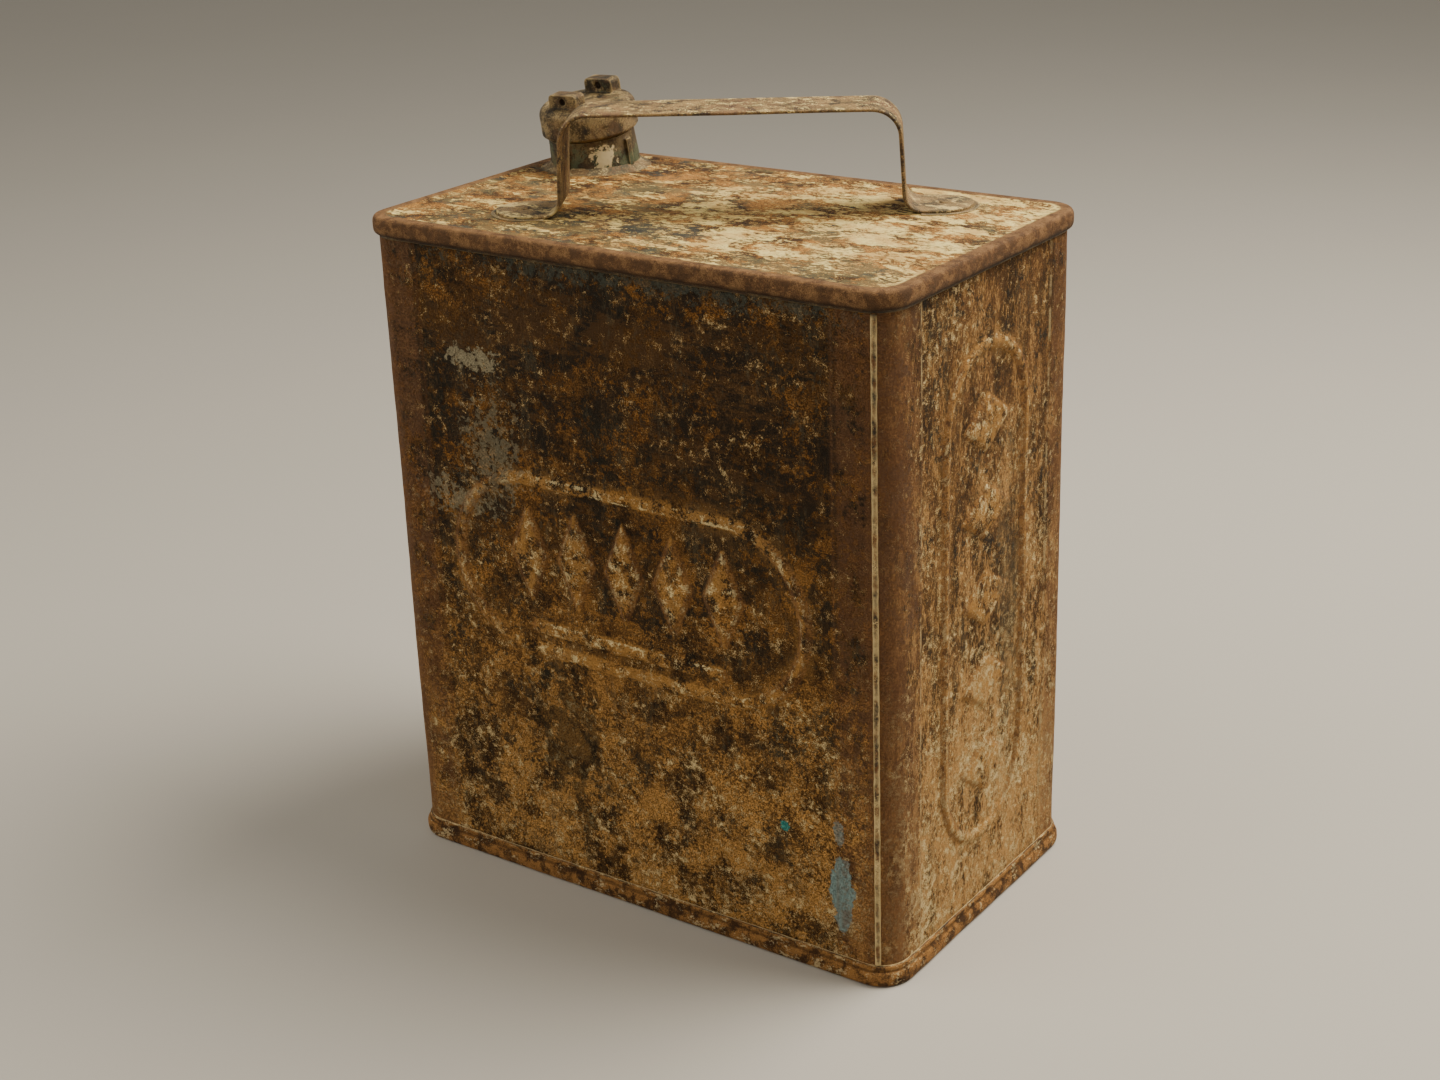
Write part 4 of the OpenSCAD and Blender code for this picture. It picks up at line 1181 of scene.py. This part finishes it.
def handleStrap():
    h = handle
    half = strapPath()
    path = [(-s, z, -a) for s, z, a in half[:0:-1]] + half
    a = np.linspace(0, 2 * math.pi, 44, endpoint=False)
    # a flat section with rounded edges
    across = np.sign(np.cos(a)) * np.abs(np.cos(a)) ** 0.22
    up = np.sign(np.sin(a)) * np.abs(np.sin(a)) ** 0.5
    rings, full = np.zeros((len(path), len(a), 3)), h["width"] / 2
    lengths = np.abs([p[0] for p in path])
    for k, (s, z, slope) in enumerate(path):
        past = max(lengths[k] - (places["padEnd"] - full), 0)
        wide = math.sqrt(max(full * full - past * past, 0))
        out = strapSide * (-math.sin(slope)) + Vector((0, 0, math.cos(slope)))
        middle = onTop(s, 0, z)
        for m in range(len(a)):
            rings[k, m] = middle + strapAcross * (wide * across[m]) + out * (h["thick"] / 2 * up[m])
    # nicked along its edges, and bowed a little where it stands clear of the top
    nicks = h["nick"] * (lumps(rings, 0.006, 31) + 2.5 * lumps(rings, 0.03, 32))
    edge = np.broadcast_to(np.abs(across) ** 6 * np.sign(across), rings.shape[:2]).ravel()
    raised = ease((rings[..., 2].ravel() - bodyH - 0.004) / 0.01)
    rings = rings.reshape(-1, 3) + np.array(strapAcross)[None] * (nicks * edge)[:, None]
    bow = h["bow"] * raised * lumps(rings, 0.07, 33) + h["ripple"] * lumps(rings, 0.004, 34)
    lift = np.array((strapSide.x * 0.4, strapSide.y * 0.4, 0.9))
    rings = rings + lift[None] * np.minimum(bow, h["bowUp"])[:, None]
    rings[:, 2] = np.minimum(rings[:, 2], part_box("handle_strap")[1].z)
    mesh = meshOf("strap", rings, woven(len(path), len(a)) + ends(len(path), len(a)))
    mesh = cutHoles(mesh, rivetHoles())
    piece("carrying_strap", mesh, "can", ["handle_strap"], strapSteel)


rivetLook = {
    "headR": 0.0036,
    "shankR": 0.002,
    "headH": 0.0008,
    "plate": 0.0012,  # thickness of the plate under the top
    "beaten": 0.00012,
    "domeRings": 7,
    "columns": 36,
}


def rivet(name, node, end, seed):
    # shank with a hammered dome above and a set head below
    look = rivetLook
    head, shank, rise, count = look["headR"], look["shankR"], look["headH"], look["domeRings"]
    high, low = handle["thick"], -can["sheet"] - look["plate"]
    outline = [(0, high + rise)]
    outline += [(head * math.sin(a), high + rise * math.cos(a)) for a in np.linspace(0.2, math.pi / 2, count)]
    outline += [(head, high), (shank, high), (shank, low), (head, low)]
    outline += [(head - 0.0002, low - rise / 2), (head - 0.0014, low - rise), (0, low - rise)]
    angle = np.linspace(0, 2 * math.pi, look["columns"], endpoint=False)
    middle = onTop(end * places["rivetS"])
    radius, z = np.array(outline).T[:, :, None]
    rings = np.stack([middle.x + radius * np.cos(angle), middle.y + radius * np.sin(angle),
                      bodyH + z + 0 * angle], -1)
    beaten = (look["beaten"] * lumps(rings, 0.003, seed)).reshape(rings.shape[:2])
    rings[1:count + 1, :, 2] += np.minimum(beaten[1:count + 1], 0)
    mesh = meshOf(name, rings, woven(len(outline), look["columns"]), weld=0.00001)
    piece(name, mesh, "can", [node], strapSteel)


handleStrap()
rivet("rivet_front", "handle_rivet_front", -1, 41)
rivet("rivet_back", "handle_rivet_back", 1, 42)


# Cast neck and cap, remade from the frame's own shapes with soft edges

castLook = {
    "voxel": {"neck": 0.0004, "cap": 0.00036},
    "smooth": 4,
    "lumps": 0.0002,
    "inside": 0.15,  # share of the lumps that the bores and threads get
    "capBore": 0.0186,
}


def castPiece(name, node, body, seed):
    look = castLook
    upright = Vector((0, 0, 1)).rotation_difference(neckAxis).to_matrix().to_4x4()
    lean = Matrix.Translation(jointSpot) @ upright
    mesh = frame["nodes"][node].data.copy()
    mesh.transform(lean.inverted())
    work = bmesh.new()
    work.from_mesh(mesh)
    bmesh.ops.remove_doubles(work, verts=work.verts, dist=0.000002)
    work.to_mesh(mesh)
    work.free()
    model = bpy.data.objects.new("model", mesh)
    scene.collection.objects.link(model)
    remesh = model.modifiers.new("voxels", "REMESH")
    remesh.mode = "VOXEL"
    remesh.voxel_size = look["voxel"][node]
    soften = model.modifiers.new("soften", "SMOOTH")
    soften.iterations = look["smooth"]
    soften.factor = 0.5
    bpy.context.view_layer.update()
    cast = bpy.data.meshes.new_from_object(model.evaluated_get(bpy.context.evaluated_depsgraph_get()))
    bpy.data.objects.remove(model)
    at, out = readOff(cast.vertices, "co", 3), readOff(cast.vertex_normals, "vector", 3)
    if node == "cap":
        outside = ease((np.hypot(at[:, 0], at[:, 1]) - look["capBore"]) / 0.0006)
    else:
        outside = ease(-(at[:, 2] + 0.0005) / 0.001)  # below the thread
    swell = np.minimum(lumps(at, 0.004, seed) + 0.5 * lumps(at, 0.0016, seed + 1), 0)
    at = at + out * (swell * look["lumps"] * np.maximum(outside, look["inside"]))[:, None]
    cast.vertices.foreach_set("co", at.ravel())
    cast.transform(lean)
    held = np.clip(readOff(cast.vertices, "co", 3), *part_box(node))
    cast.vertices.foreach_set("co", held.ravel())
    cast.update()
    piece(name, cast, body, [node], bronze)


castPiece("cast_neck", "neck", "can", 51)
castPiece("cast_cap", "cap", "cap", 52)


# Parts of the frame that keep their shape

def refinish(node, material):
    obj = frame["nodes"][node]
    obj.data.materials.clear()
    obj.data.materials.append(material)


refinish("cap_washer", leather)
refinish("foot_plate_front", strapSteel)
refinish("foot_plate_back", strapSteel)
print("object built")


# Floor, light and camera

studio = {
    "floor": tint(184, 178, 166),
    "floorShade": tint(160, 156, 148),
    "floorHalf": 6.0,
    "aim": (0, 0, 0.14),  # where both lamps point
    "world": (0.88, 0.84, 0.77, 1),
    "worldLight": 0.4,
    "key": {"place": (0.55, 0.5, 1.25), "size": 1.0, "power": 33, "colour": (1, 0.94, 0.84)},
    "fill": {"place": (-0.9, -1.0, 0.9), "size": 1.6, "power": 11, "colour": (1, 0.95, 0.87)},
    "lens": 55.19,
    "cameraPlace": (0.48915, -0.68966, 0.47767),
    "cameraTurns": ((35.58, "Z"), (90 - 21.92, "X"), (-2.036, "Z")),  # degrees
}


def makeFloor():
    material, tree, shader, where = newMaterial("paleFloor")
    cloud = noiseAt(tree, where.outputs["Object"], 6.0, 4.0, 0.5)
    shade = mix(tree, maths(tree, "MULTIPLY", cloud, 0.12), studio["floor"], studio["floorShade"])
    feed(tree, shader.inputs["Base Color"], shade)
    shader.inputs["Roughness"].default_value = 0.85
    mesh = bpy.data.meshes.new("floor")
    half = studio["floorHalf"]
    corners = [(-half, -half, 0), (half, -half, 0), (half, half, 0), (-half, half, 0)]
    mesh.from_pydata(corners, [], [(0, 1, 2, 3)])
    mesh.materials.append(material)
    floor = bpy.data.objects.new("floor", mesh)
    scene.collection.objects.link(floor)


def makeLights():
    world = bpy.data.worlds.new("studioAir")
    scene.world = world
    world.use_nodes = True
    back = world.node_tree.nodes["Background"]
    back.inputs["Color"].default_value = studio["world"]
    back.inputs["Strength"].default_value = studio["worldLight"]
    for name in ("key", "fill"):
        look = studio[name]
        lamp = bpy.data.lights.new(name, "AREA")
        lamp.shape = "DISK"
        lamp.size = look["size"]
        lamp.energy = look["power"]
        lamp.color = look["colour"]
        obj = bpy.data.objects.new(name, lamp)
        scene.collection.objects.link(obj)
        obj.location = look["place"]
        aim = Vector(studio["aim"]) - obj.location
        obj.rotation_euler = aim.to_track_quat("-Z", "Y").to_euler()


def makeCamera():
    lens = bpy.data.cameras.new("camera")
    lens.sensor_width = 36
    lens.lens = studio["lens"]
    camera = bpy.data.objects.new("camera", lens)
    scene.collection.objects.link(camera)
    stand = Matrix.Translation(studio["cameraPlace"])
    for degrees, axis in studio["cameraTurns"]:
        stand = stand @ Matrix.Rotation(math.radians(degrees), 4, axis)
    camera.matrix_world = stand
    scene.camera = camera


makeFloor()
makeLights()
makeCamera()
